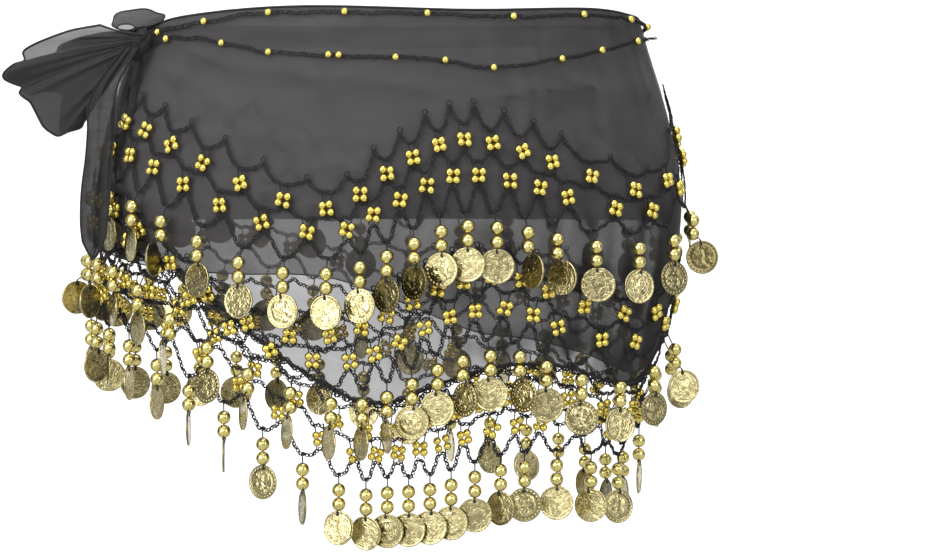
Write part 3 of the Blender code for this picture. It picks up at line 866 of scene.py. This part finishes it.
def crinkle(turn, height):
    """The fine uneven surface of the gauze: given creases, then two sizes of soft wrinkle."""
    above = clamp((height - line("top_1", turn)) / WRINKLE_RUN)
    place = on_oval(turn, height, WRINKLE_REACH, 0) * COARSE_GRAIN
    coarse = noise.noise(place) * (0.35 + 0.55 * above)
    fine = noise.noise(Vector((place.x, place.y, place.z * 1.7)) * FINE_GRAIN) * (0.14 + 0.12 * above)
    return folds(CREASES, turn % 1, height) + (coarse + fine) * MM


def ply(name, turns, parts, place, material_name, *nodes, closed=True, close=None):
    """One open sheet through the points place(turn, part), and how closely it is gathered at each, which
    paints its colour darker as shade and raises its cover.
    """
    bm = bmesh.new()
    rows = [[bm.verts.new(place(turn, part)) for turn in turns] for part in parts]
    count = len(turns)
    for upper, lower in zip(rows, rows[1:]):
        for i in range(count if closed else count - 1):
            k = (i + 1) % count
            bm.faces.new((upper[i], lower[i], lower[k], upper[k]))
    piece = mesh_piece(name, bm, material_name)
    if close:
        mark(piece.data, "gather", [close(turn, part) for part in parts for turn in turns])
    return fitted(piece, "chiffon", *nodes)


def closeness_and_painted_shade(turn, height):
    """How closely the wrap is gathered at a place, with uneven folds that run down painted as darker streaks,
    soft patches of painted shade and painted shade in its creases.
    """
    close = smooth(GATHERED_AND_SHADED, "close", turn % 1)
    place = on_oval(turn, height, WRINKLE_REACH, 0)
    run = noise.noise(Vector([p * size for p, size in zip(place, GATHER_GRAIN)]))
    patch = noise.noise(Vector([p * size for p, size in zip(place, SHADE_PATCH_GRAIN)]) + Vector((0, 0, 7)))
    lower = clamp((CLOSE_TOP - height) / CLOSE_RUN)
    spread = clamp((turn - SHADE_PATCHES_FROM) / SHADE_PATCHES_RUN) * clamp((SHADE_PATCHES_TO - turn) / SHADE_PATCHES_RUN)
    value = close * (0.45 + 0.55 * lower) * (1 + 0.9 * run)
    # Soft patches of painted shade
    value += spread * (0.25 + 0.75 * lower) * 0.75 * max(patch - 0.02, 0)
    # Painted shade along the creases
    crease_shade = clamp(folds(CREASES, turn % 1, height) / FULLY_SHADED_CREASE) ** 2
    return clamp(value + 0.10 * run * (0.3 + spread) + 0.34 * crease_shade)


class HIPSCARF_OT_looks(bpy.types.Operator):
    """Make the shader groups, the materials and the growing trees"""

    bl_idname = "hipscarf.looks"
    bl_label = "Make the Looks"

    def execute(self, context):
        cloth, gems = context.scene.hipscarf_cloth, context.scene.hipscarf_pendants
        GROUPS.update(fine_weave=fine_weave(), worn_metal=worn_metal(), coin_relief=coin_relief())
        chiffon("chiffon_sheer", cloth, cloth.sheer)
        # The fan's and the gathered cloth's copies of the chiffon are painted darker as shade
        chiffon("chiffon_fan_painted_shade", cloth, 0.84, crinkled=90.0, depth=0.8 * MM, painted_shade=0.50)
        chiffon("chiffon_gathered_painted_shade", cloth, 0.985, crinkled=120.0, depth=0.9 * MM, painted_shade=0.32)
        yarn(context.scene.hipscarf_net)
        gold("gold_coin", gems.gold, 0.35, 0.17, 160.0, 0.10, coined=True)
        gold("gold_bead_large", gems.pale, 0.25, 0.16, 120.0, 0.08)
        gold("gold_bead_small", gems.deep, 0.30, 0.15, 200.0, 0.08)
        TREES.update(plait=plait_tree(), thread=thread_tree(), beads=copies_tree())
        return {"FINISHED"}


class HIPSCARF_OT_wrap(bpy.types.Operator):
    """Drape the two plies of the wrap with their rolled edges"""

    bl_idname = "hipscarf.wrap"
    bl_label = "Drape the Wrap"

    def execute(self, context):
        sizes = context.scene.hipscarf_cloth
        turns = [i / sizes.turn_steps for i in range(sizes.turn_steps)]
        parts = [i / sizes.drop_steps for i in range(sizes.drop_steps + 1)]

        def outer(turn, part):
            height = top_edge(turn) * (1 - part) + line("top_3", turn) * part
            return on_hip(turn, height, crinkle(turn, height) - OUTER_IN)

        def inner(turn, part):
            low = SEAM_HEIGHT + SEAM_RISE * max(0, -math.sin(2 * math.pi * turn))
            height = top_edge(turn) * (1 - part) + low * part
            return on_hip(turn, height, INNER_CRINKLE * crinkle(turn, height) - INNER_IN)

        def casing(turn, part):
            height = top_edge(turn) - CASING_DROP * part
            return on_hip(turn, height, INNER_CRINKLE * crinkle(turn, height) - CASING_IN)

        # How closely the wrap is gathered, which also paints its colour darker as shade
        def closed_up_and_shaded(turn, part):
            return closeness_and_painted_shade(turn, outer(turn, part).z)

        solids = ("wrap_front", "wrap_back")
        wrap = ply("wrap", turns, parts, outer, "chiffon_sheer", *solids, close=closed_up_and_shaded)
        every_second = turns[::2] if len(turns) % 2 == 0 else turns
        turned = ply("turned_down_ply", every_second, parts[::2], inner, "chiffon_sheer")
        band = ply("top_casing", turns, [i / 6 for i in range(7)], casing, "chiffon_fan_painted_shade")
        closed = turns + [1.0]
        hem = rolled("hem_roll", [[outer(turn, 1.0) for turn in closed if turn < 0.52]], sizes.hem)
        back = [outer(turn, 1.0) for turn in closed if turn > 0.51]
        back_hem = rolled("back_hem_roll", [back], 0.5 * sizes.hem)
        edge = [outer(turn, 0.0) - Vector((0, 0, 0.4 * MM)) for turn in closed]
        top = rolled("top_roll", [edge], 0.8 * sizes.hem)
        return {"FINISHED"}


def strand(tier, places, seed, sag=0.0, hung_from_peaks=False):
    """A yarn line on a net, through places of turn and height, with a little sag and wander."""
    out = net_out(tier) + STRAND_THICK / 2
    path = []
    for (turn_a, high), (turn_b, low) in zip(places, places[1:]):
        a, b = on_hip(turn_a, high, out), on_hip(turn_b, low, out)
        steps = max(2, round((a - b).length / STRAND_STEP))
        for i in range(steps):
            at = i / steps
            share = eased(clamp((at - LEVEL_END) / (1 - 2 * LEVEL_END)))
            if hung_from_peaks:
                share = 1 - (1 - at) ** HANG_POWER if high > low else at**HANG_POWER
            turn, height = turn_a + (turn_b - turn_a) * at, high + (low - high) * share
            height += math.sin(math.pi * at) * (wander(seed, turn * 110, 1.5 * MM) - sag)
            height += wander(seed + 1, turn * 420, 0.5 * MM)
            path.append(on_hip(turn, height, out + wander(seed + 3, turn * 160, 0.25 * MM)))
    path.append(on_hip(*places[-1], out))
    return path


def net_lines(tier, turns, seed):
    """The three zigzags of a net and its flowers, which hold one zigzag's valleys to the next one's peaks."""
    chance = random.Random(seed)

    def shift():
        return chance.uniform(-UNEVEN_ROW, UNEVEN_ROW) * MM

    first, second, third, flowers = [], [], [], []
    for i, turn in enumerate(turns):
        meet = level(tier, turn, 2 / 3)
        first.append((turn, level(tier, turn, 0) + (shift() if tier < 3 else 0)))
        second.append((turn, meet + VALLEY_OVER + shift()))
        third.append((turn, meet - PEAK_UNDER + shift()))
        flowers.append((turn, meet))
        if i < len(turns) - 1:
            middle = (turn + turns[i + 1]) / 2
            meet = level(tier, middle, 1 / 3)
            first.append((middle, meet + VALLEY_OVER + shift()))
            second.append((middle, meet - PEAK_UNDER + shift()))
            third.append((middle, line(f"foot_{tier}", middle)))
            flowers.append((middle, meet))
    return [first, second, third], flowers


class HIPSCARF_OT_nets(bpy.types.Operator):
    """Plait the yarn zigzags of the three nets, their picots and the threads through their flowers"""

    bl_idname = "hipscarf.nets"
    bl_label = "Plait the Nets"

    def execute(self, context):
        for tier, columns in NETS.items():
            out = net_out(tier) + STRAND_THICK / 2
            chains, threads = [], []
            for side, turns in halves(columns):
                zigzags, flowers = net_lines(tier, turns, 10 * tier + len(side))
                for k, places in enumerate(zigzags):
                    chains.append(strand(tier, places, 17 * tier + k, 0.8 * MM, k == 0))
                if tier == 3 and side == "front":
                    chains += self.hem_chains(turns[0], turns[-1])
                if tier < 3:
                    threads += [self.picot(turn, height, out) for turn, height in zigzags[0][::2]]
                for turn, height in flowers:
                    for way in (-1, 1):
                        aside = sideways(turn, height, way * 1.9 * MM)
                        places = [(turn + x * aside, height + z * FLOWER_HALF) for x, z in FLOWER_THREAD]
                        threads.append([on_hip(*place, out) for place in places])
            solids = (f"net_{tier}_front", f"net_{tier}_back")
            plaited(f"net_{tier}_chains", chains, context.scene.hipscarf_net, 1.0, 1.0 * MM, *solids)
            threads_piece(f"net_{tier}_threads", threads, NET_THREAD)
        return {"FINISHED"}

    def hem_chains(self, first, last):
        """Two chains side by side along the front hem."""
        along = [first + (last - first) * i / 60 for i in range(61)]
        drops = ((70, 0.6 * MM), (71, -1.6 * MM))
        paths = [[(turn, line("top_3", turn) + drop) for turn in along] for _, drop in drops]
        return [strand(3, path, seed) for path, (seed, _) in zip(paths, drops)]

    def picot(self, turn, height, out):
        angles = [a * math.pi / 5 for a in range(11)]
        ring = [(PICOT * math.sin(a), PICOT * (1 - math.cos(a))) for a in angles]
        return [on_hip(turn + sideways(turn, height, x), height + z, out + 0.3 * MM) for x, z in ring]


class HIPSCARF_OT_flowers(bpy.types.Operator):
    """Set four small beads as a flower wherever two zigzags meet"""

    bl_idname = "hipscarf.flowers"
    bl_label = "Set the Bead Flowers"

    def execute(self, context):
        for tier, columns in NETS.items():
            chance = random.Random(40 + tier)
            out = net_out(tier) + STRAND_THICK / 2 + (FLOWER_OUT if tier < 3 else HEM_FLOWER_OUT)
            points = []
            for side, turns in halves(columns):
                for turn, height in net_lines(tier, turns, 10 * tier + len(side))[1]:
                    lean, spread = chance.uniform(-FLOWER_LEAN, FLOWER_LEAN), chance.uniform(0.96, 1.08)
                    sine, cosine = math.sin(lean), math.cos(lean)
                    for across, up in ((-1, 1), (1, 1), (-1, -1), (1, -1)):
                        x, z = across * FLOWER_STEP * spread, up * FLOWER_STEP * spread
                        x, z = x * cosine - z * sine, x * sine + z * cosine
                        x, z = (v + chance.uniform(-UNEVEN_BEAD, UNEVEN_BEAD) * MM for v in (x, z))
                        aside = sideways(turn, height, x)
                        place = on_hip(turn + aside, height + z, out + chance.uniform(-0.3, 0.3) * MM)
                        points.append(tumbled(place, chance))
            beads_piece(f"flowers_{tier}", points, context.scene.hipscarf_net.bead, 10, 7, "gold_bead_small")
        return {"FINISHED"}


def coin_mesh(name, sizes, relief):
    """A round coin in the XZ plane, facing -Y: a rim, dots, an arc and a worn middle, or worn all over."""
    radius, half = sizes.coin, sizes.thick / 2
    angles = [2 * math.pi * i / COIN_SIDES for i in range(COIN_SIDES)]

    def rise(part, angle):
        if part > 0.95:
            return 0.40 if part < 0.99 else 0.05
        x, z = part * math.cos(angle), part * math.sin(angle)
        if not relief:
            return 0.10 * noise.noise(Vector((4 * x, 4 * z, 3)))
        if part > 0.8:
            return 0.30 * max(math.cos(COIN_DOTS * angle), 0) if part < 0.9 else 0.0
        if part > 0.66:
            return 0.26 if part < 0.75 and math.sin(angle + ARC_START) > ARC_FROM else 0.0
        return 0.16 + 0.40 * noise.noise(Vector((3.4 * x, 3.4 * z, 7)))

    bm = bmesh.new()

    def ring(part, depth):
        reach = radius * part
        return [bm.verts.new((reach * math.cos(a), depth(a), reach * math.sin(a))) for a in angles]

    def facing_ring(part):
        return ring(part, lambda angle: -half - rise(part, angle) * MM)

    outer, back, inner = (ring(part, lambda angle: half + lip) for part, lip in COIN_BACK)
    order = [inner, back, outer] + [facing_ring(part) for part in COIN_FRONT]
    for first, second in zip(order, order[1:]):
        for i in range(COIN_SIDES):
            k = (i + 1) % COIN_SIDES
            bm.faces.new((first[i], first[k], second[k], second[i]))
    for end_ring, depth in ((order[0], half), (order[-1], -half - 0.15 * MM)):
        centre = bm.verts.new((0, depth, 0))
        for i in range(COIN_SIDES):
            bm.faces.new((centre, end_ring[i], end_ring[(i + 1) % COIN_SIDES]))
    bmesh.ops.recalc_face_normals(bm, faces=bm.faces)
    coin = mesh_piece(name, bm, "gold_coin")
    corners = [v.co for v in coin.data.vertices]
    places = [(p.x / radius, 1.0 if relief and p.y < 0 else 0.0, p.z / radius) for p in corners]
    mark(coin.data, "coin_at", [a for place in places for a in place], "vector")
    return coin


def hung(tier, turn, coin_turn, chance):
    """The places of one pendant's beads and coin, the coin's angles, and its threads."""
    foot = line(f"foot_{tier}", turn)
    reach = max(half_width(foot - drop * MM) for drop in HANG_DROPS)
    stand, sine = flare(turn, foot), math.sin(math.radians(coin_turn))
    bead_out = HANG_OUT if tier < 3 else 0.0
    clear = NET_OUT + STRAND_THICK + COIN_THICK / 2 + sine * 10 * MM
    coin_out = max(bead_out, clear) if tier < 3 else 0.0
    angle = 2 * math.pi * turn
    right = Vector((reach * math.sin(angle), -DEPTH_TO_WIDTH * reach * math.cos(angle), 0)).normalized()
    out = Vector((right.y, -right.x, 0))
    turned = right * math.cos(math.radians(coin_turn)) + out * sine
    lower = (0, BEAD_PITCH + 0.3 * MM)
    beads = [on_oval(turn, foot - BEAD_DROP - drop, reach, stand + bead_out) for drop in lower]
    coin = on_oval(turn, foot - COIN_DROP - 0.9 * MM, reach, stand + coin_out)
    nod, roll = (chance.uniform(-most, most) for most in COIN_SWAY)
    facing = Euler((nod, roll, math.atan2(turned.y, turned.x)))
    up, front = (facing.to_matrix() @ Vector(way) for way in ((0, 0, 1), (0, -1, 0)))
    hole, top = coin + up * COIN_HOLE, coin + up * COIN_LOOP
    root = on_hip(turn, foot, net_out(tier) + STRAND_THICK)
    middle, bow = (top + hole) / 2, front * 1.1 * MM
    threads = [[root, *beads, top], [top, middle + bow, hole, middle - bow, top]]
    plug = [hole + front * 0.75 * MM, hole - front * 0.75 * MM]
    return beads, coin, tuple(facing), threads, plug


class HIPSCARF_OT_pendants(bpy.types.Operator):
    """Hang two large beads and a coin under each valley of the nets"""

    bl_idname = "hipscarf.pendants"
    bl_label = "Hang the Pendants"

    def execute(self, context):
        sizes = context.scene.hipscarf_pendants
        shapes = {face: coin_mesh(f"{face}_coin", sizes, face == "relief") for face in ("relief", "plain")}
        trees = {face: copies_tree(shape) for face, shape in shapes.items()}
        for tier, columns in NETS.items():
            chance = random.Random(70 + tier)
            coins, beads, threads, plugs, knots = {"relief": [], "plain": []}, [], [], [], []
            for side, turns in halves(columns):
                for i, (first, second) in enumerate(zip(turns, turns[1:])):
                    if side == "front":
                        coin_turn, face = COIN_TURNS[tier][i], COIN_FACES[tier][i]
                    else:
                        coin_turn = BACK_TURNS[(i + 2 * tier) % len(BACK_TURNS)]
                        face = BACK_FACES[(i + tier) % len(BACK_FACES)]
                    turn = (first + second) / 2
                    places, coin, facing, lines, plug = hung(tier, turn, coin_turn, chance)
                    # A D coin's tone paints it darker all over as shade; the other coins get a small random
                    # tone
                    tone = chance.uniform(0.8, 1.0) if face == "D" else chance.uniform(0.0, 0.3)
                    coins["plain" if face == "P" else "relief"].append((coin, facing, tone))
                    beads += [tumbled(place, chance) for place in places]
                    threads += lines
                    plugs.append(plug)
                    knot = on_hip(turn, line(f"foot_{tier}", turn), net_out(tier) + STRAND_THICK / 2)
                    knots.append((knot, (0, 0, 0), 0.0))
            for face, rows in coins.items():
                copies = grown(f"coins_{tier}_{face}", points_mesh(rows), trees[face], {}, "gold_coin")
                fitted(copies, "gold")
            solids = (f"fringe_{tier}_front", f"fringe_{tier}_back")
            beads_piece(f"beads_{tier}", beads, sizes.bead, 16, 11, "gold_bead_large", nodes=solids)
            threads_piece(f"pendant_threads_{tier}", threads, PENDANT_THREAD)
            threads_piece(f"coin_hole_threads_{tier}", plugs, HOLE_THREAD, 8)
            beads_piece(f"net_knots_{tier}", knots, NET_KNOT, 8, 5, "yarn_black", "yarn")
        for shape in shapes.values():
            bpy.data.objects.remove(shape)
        return {"FINISHED"}


class HIPSCARF_OT_chains(bpy.types.Operator):
    """Lay the two beaded chains across the cloth above the nets"""

    bl_idname = "hipscarf.chains"
    bl_label = "Lay the Beaded Chains"

    def execute(self, context):
        sizes = context.scene.hipscarf_net
        chains = (("top_chain", TOP_CHAIN, TOP_BEADS), ("belly_chain", BELLY_CHAIN, BELLY_BEADS))
        for name, table, bead_turns in chains:
            first, last = table[1][0][0], table[1][-1][0]
            count = round((last - first) / CHAIN_STEP)
            path = []
            for i in range(count + 1):
                turn = first + (last - first) * i / count
                height = smooth(table, "height", turn) * MM + wander(len(name), i * 0.17, 0.8 * MM)
                path.append(on_hip(turn, height, CHAIN_OUT - 0.4 * MM))
            if name == "belly_chain":
                path.append(path[-1] + Vector((6, -1, 1)) * MM)
            plaited(f"{name}_plait", [path], sizes, 1.05, 0.9 * MM, name)
            chance = random.Random(len(name))
            points = []
            for turn in bead_turns:
                place = on_hip(turn, smooth(table, "height", turn) * MM, CHAIN_OUT + 0.6 * MM)
                points.append(tumbled(place, chance))
            beads_piece(f"{name}_beads", points, sizes.bead * 0.94, 14, 10, "gold_bead_small")
        return {"FINISHED"}


def knot_centre():
    return on_hip(KNOT_TURN, KNOT_HEIGHT, KNOT_RADII[0] + 0.7 * MM)


def fan_point(place, step, behind=0.0):
    """A point of the fan. Place runs along its edge from the top ray, step out from the knot, 0 to 1."""
    end = Vector([smooth(FAN_EDGE, axis, place) for axis in "xyz"]) * MM
    share = place / FAN_LAST
    start = knot_centre() + Vector((3.0 - 4.6 * share, -KNOT_RADII[1] / MM + 0.2, 5.2 - 11.5 * share)) * MM
    broad = -math.cos(10 * math.pi * share) * 0.6 * FAN_PLEAT * step
    gather = math.sin(math.pi * min(1, 0.12 + step * 0.88))
    narrow = math.sin(1.9 * place + 2.5 * step) * 0.8 + 0.45 * math.sin(3.7 * place + 1.3 + 1.5 * step)
    bow = Vector((0, -1, 0.35 - 0.75 * max(0, 1 - place / 2))) * 3.5 * MM * math.sin(math.pi * step)
    return start.lerp(end, step) + Vector((0, behind - broad - narrow * gather * MM, 0)) + bow


class HIPSCARF_OT_ties(bpy.types.Operator):
    """Tie the knot with its fan, loop and hanging end"""

    bl_idname = "hipscarf.ties"
    bl_label = "Tie the Knot"

    def execute(self, context):
        self.knot()
        self.fan()
        self.loop()
        self.tail()
        return {"FINISHED"}

    def knot(self):
        bm = bmesh.new()
        bmesh.ops.create_uvsphere(bm, u_segments=64, v_segments=40, radius=1.0)
        for vert in bm.verts:
            way = vert.co.copy()
            around = math.atan2(way.x, way.z)
            squeeze = 0.94 - 0.12 * math.sin(2 * around + 1.2 * way.y) ** 8
            squeeze += 0.035 * math.sin(9 * around + 5 * way.y + 2 * noise.noise(way * 2))
            squeeze += 0.03 * noise.noise(way * 3)
            place = Vector([way[i] * KNOT_RADII[i] * squeeze for i in range(3)])
            place.x += 0.22 * place.z
            vert.co = place + knot_centre()
        # The knot takes the cloth painted darkest, as its shadow
        fitted(mesh_piece("knot", bm, "chiffon_gathered_painted_shade"), "chiffon", "tie_knot")

    def fan(self):
        steps = [i / 60 for i in range(61)]
        places = [FAN_LAST * i / 150 for i in range(151)]

        def doubled(place, step):
            first = straight(FAN_DOUBLED, step)
            return fan_point(first + (FAN_LAST - first) * place / FAN_LAST, 0.995 * step, 1.2 * MM)

        def third(place, step):
            first = min(straight(FAN_DOUBLED, step) + 0.3, 6.2)
            place = first + (FAN_LAST - first) * place / FAN_LAST
            return fan_point(place, step * smooth(FAN_THIRD, "reach", place), 2.2 * MM)

        def sheet(name, place, *nodes):
            return ply(name, places, steps, place, "chiffon_fan_painted_shade", *nodes, closed=False)

        fan = sheet("fan", fan_point, "fan_tail")
        second, inmost = sheet("fan_second_ply", doubled), sheet("fan_third_ply", third)
        edge = [fan_point(0, s) for s in steps[::2]] + [fan_point(p, 1) for p in places[1:]]
        edge += [fan_point(FAN_LAST, s) for s in steps[::-2]]
        roll = rolled("fan_edge", [edge], 0.7 * MM)
        lower = rolled("fan_fold", [[doubled(0, s) for s in steps]], 0.3 * MM)

    def loop(self):
        middle_y = knot_centre().y
        far_x, far_z = LOOP_FAR[:2]

        def band(place, step):
            angle = 2 * math.pi * place
            across, up = math.sin(angle), -math.cos(angle)
            near = step**1.3
            x, z, wide, high = (far + (close - far) * near for far, close in zip(LOOP_FAR, LOOP_NEAR))
            ripple = math.sin(5 * angle + 3 * step) * math.sin(math.pi * min(1, 0.3 + step))
            puff = 1 + 0.10 * math.sin(math.pi * step) + 0.06 * ripple
            tip = 2.6 * math.exp(-(((place - 0.31) / 0.045) ** 2)) * (1 - near)
            x += wide * across * puff + tip + 1.5 * up * (1 - near)
            z += high * up * puff + 0.3 * tip
            return Vector((x * MM, middle_y + LOOP_DEEP / 2 * math.cos(math.pi * step), z * MM))

        def behind(place, step):
            return band(place, 0).lerp(Vector((far_x * MM, middle_y + 5 * MM, far_z * MM)), 0.98 * step)

        places, steps = [i / 96 for i in range(96)], [i / 12 for i in range(13)]
        loop = ply("loop", places, steps, band, "chiffon_fan_painted_shade", "top_loop")
        roll = rolled("loop_edges", [[band(p, s) for p in places + [1.0]] for s in (0, 1)], 0.5 * MM)
        backing = ply("loop_backing", places, [i / 6 for i in range(7)], behind, "chiffon_sheer")

    def tail(self):
        def strip(across, down):
            row = down * (len(TAIL[1]) - 1)
            x, y, z, width = (smooth(TAIL, key, row) for key in ("x", "y", "z", "width"))
            fold = math.sin(across * 2 * math.pi * 2 + 0.6 * math.sin(5 * down)) * 1.3
            fold += 0.5 * math.sin(across * 23 + 7 * down)
            ragged = 12 * abs(2 * across - 0.9) ** 1.3 * down**8
            aside, proud = (across - 0.5) * width, 1.1 + fold * min(1, 0.35 + down)
            return Vector((x + aside, y + proud, z + ragged)) * MM

        def panel(across, down):
            z, left, right = (smooth(SIDE_FOLD, key, down) * MM for key in ("z", "left", "right"))
            x = left + (right - left) * across
            reach = half_width(z)
            y = -DEPTH_TO_WIDTH * math.sqrt(max(reach * reach - x * x, 0))
            return Vector((x, y - (3.4 + 1.0 * math.sin(9 * across + 2 * down)) * MM, z))

        places, steps = [i / 60 for i in range(61)], [i / 90 for i in range(91)]
        tail = ply("hanging_end", places, steps, strip, "chiffon_gathered_painted_shade", "hanging_tail", closed=False)
        edges = [[strip(a, d) for d in steps[::2]] for a in (0, 1)] + [[strip(a, 1) for a in places[::2]]]
        roll = rolled("hanging_end_edges", edges, 0.6 * MM)
        across = [i / 24 for i in range(25)]
        fold = ply("side_fold", across, steps[::2], panel, "chiffon_fan_painted_shade", closed=False)


class HIPSCARF_OT_stage(bpy.types.Operator):
    """Set the pale floor and backdrop, the soft lights and the camera"""

    bl_idname = "hipscarf.stage"
    bl_label = "Set the Stage"

    def execute(self, context):
        sizes = context.scene.hipscarf_stage
        self.backdrop(sizes.floor)
        self.world(context.scene)
        for name, place, target, size, power in LIGHTS:
            data = bpy.data.lights.new(name, "AREA")
            data.shape, data.size, data.size_y, data.energy = "RECTANGLE", size[0], size[1], power
            lamp = bpy.data.objects.new(name, data)
            lamp.location = place
            lamp.rotation_euler = (Vector(target) - Vector(place)).to_track_quat("-Z", "Y").to_euler()
            context.scene.collection.objects.link(lamp)
        data = bpy.data.cameras.new("camera")
        data.sensor_width = SENSOR
        data.lens = SENSOR * sizes.distance / sizes.view_width
        camera = bpy.data.objects.new("camera", data)
        camera.location = (sizes.aim_x, -sizes.distance, sizes.aim_z)
        camera.rotation_euler = (math.pi / 2, 0, 0)
        context.scene.collection.objects.link(camera)
        context.scene.camera = camera
        context.scene.view_settings.view_transform = "Standard"
        return {"FINISHED"}

    def backdrop(self, level_at):
        """A pale floor, and a whiter wall that starts with a sweep."""
        bends = [a * math.pi / 32 for a in range(17)]
        sweep = [(WALL_FOOT + SWEEP * math.sin(a), level_at + SWEEP * (1 - math.cos(a))) for a in bends]
        floor, wall = [(-STAGE_REACH, level_at), sweep[0]], [*sweep, (sweep[-1][0], STAGE_REACH)]
        for name, finish, grey, profile in (
            ("floor", "floor_pale", 0.50, floor), ("wall", "wall_white", 0.93, wall)
        ):
            tree, shader = look(finish)
            values = {"Base Color": (grey, grey, grey, 1), "Roughness": 0.9, "Specular IOR Level": 0.1}
            put(tree, shader, values)
            bm = bmesh.new()
            rows = [[bm.verts.new((x, y, z)) for x in (-STAGE_REACH, STAGE_REACH)] for y, z in profile]
            for (a, b), (c, d) in zip(rows, rows[1:]):
                bm.faces.new((a, b, d, c))
            mesh_piece(name, bm, finish)

    def world(self, scene):
        """A studio that is darker at eye level and brighter above, with a glow behind the camera's left."""
        scene.world = bpy.data.worlds.new("studio")
        scene.world.use_nodes = True
        sky = scene.world.node_tree
        place = add(sky, "ShaderNodeTexCoord").outputs["Generated"]
        height = add(sky, "ShaderNodeSeparateXYZ", {0: place}).outputs["Z"]
        ramp = add(sky, "ShaderNodeValToRGB", {"Fac": maths(sky, "MULTIPLY_ADD", height, 0.5, 0.5)})
        for k, (at, grey) in enumerate(SKY_STOPS):
            stop = ramp.color_ramp.elements[k] if k < 2 else ramp.color_ramp.elements.new(at)
            stop.position, stop.color = at, (grey, grey, grey, 1)
        facing = vectors(sky, "DOT_PRODUCT", {0: place, 1: GLOW_WAY}, "Value")
        glow = ranged(sky, facing, 0.82, 0.96, 0.0, 2.4)
        both = vectors(sky, "ADD", {0: ramp.outputs["Color"], 1: glow})
        put(sky, sky.nodes["Background"], {"Color": both, "Strength": 0.8})


OPERATORS = (
    HIPSCARF_OT_looks, HIPSCARF_OT_wrap, HIPSCARF_OT_nets, HIPSCARF_OT_flowers, HIPSCARF_OT_pendants,
    HIPSCARF_OT_chains, HIPSCARF_OT_ties, HIPSCARF_OT_stage,
)
GROUPS_OF_SIZES = {
    "hipscarf_cloth": ClothSizes, "hipscarf_net": NetSizes, "hipscarf_pendants": PendantSizes,
    "hipscarf_stage": StageSizes,
}


class HIPSCARF_PT_panel(bpy.types.Panel):
    """Lists the steps that make the scarf"""

    bl_idname = "HIPSCARF_PT_panel"
    bl_label = "Hip Scarf"
    bl_space_type = "VIEW_3D"
    bl_region_type = "UI"
    bl_category = "Hip Scarf"

    def draw(self, context):
        for operator in OPERATORS:
            self.layout.operator(operator.bl_idname)
        for name, kind in GROUPS_OF_SIZES.items():
            box = self.layout.box()
            for key in kind.__annotations__:
                box.prop(getattr(context.scene, name), key)


def register():
    for kind in (*GROUPS_OF_SIZES.values(), *OPERATORS, HIPSCARF_PT_panel):
        bpy.utils.register_class(kind)
    for name, kind in GROUPS_OF_SIZES.items():
        setattr(bpy.types.Scene, name, PointerProperty(type=kind))


def unregister():
    for name in GROUPS_OF_SIZES:
        delattr(bpy.types.Scene, name)
    for kind in reversed((*GROUPS_OF_SIZES.values(), *OPERATORS, HIPSCARF_PT_panel)):
        bpy.utils.unregister_class(kind)


def main():
    register()
    for operator in OPERATORS:
        group_name, step = operator.bl_idname.split(".")
        getattr(getattr(bpy.ops, group_name), step)()


if __name__ == "__main__":
    main()
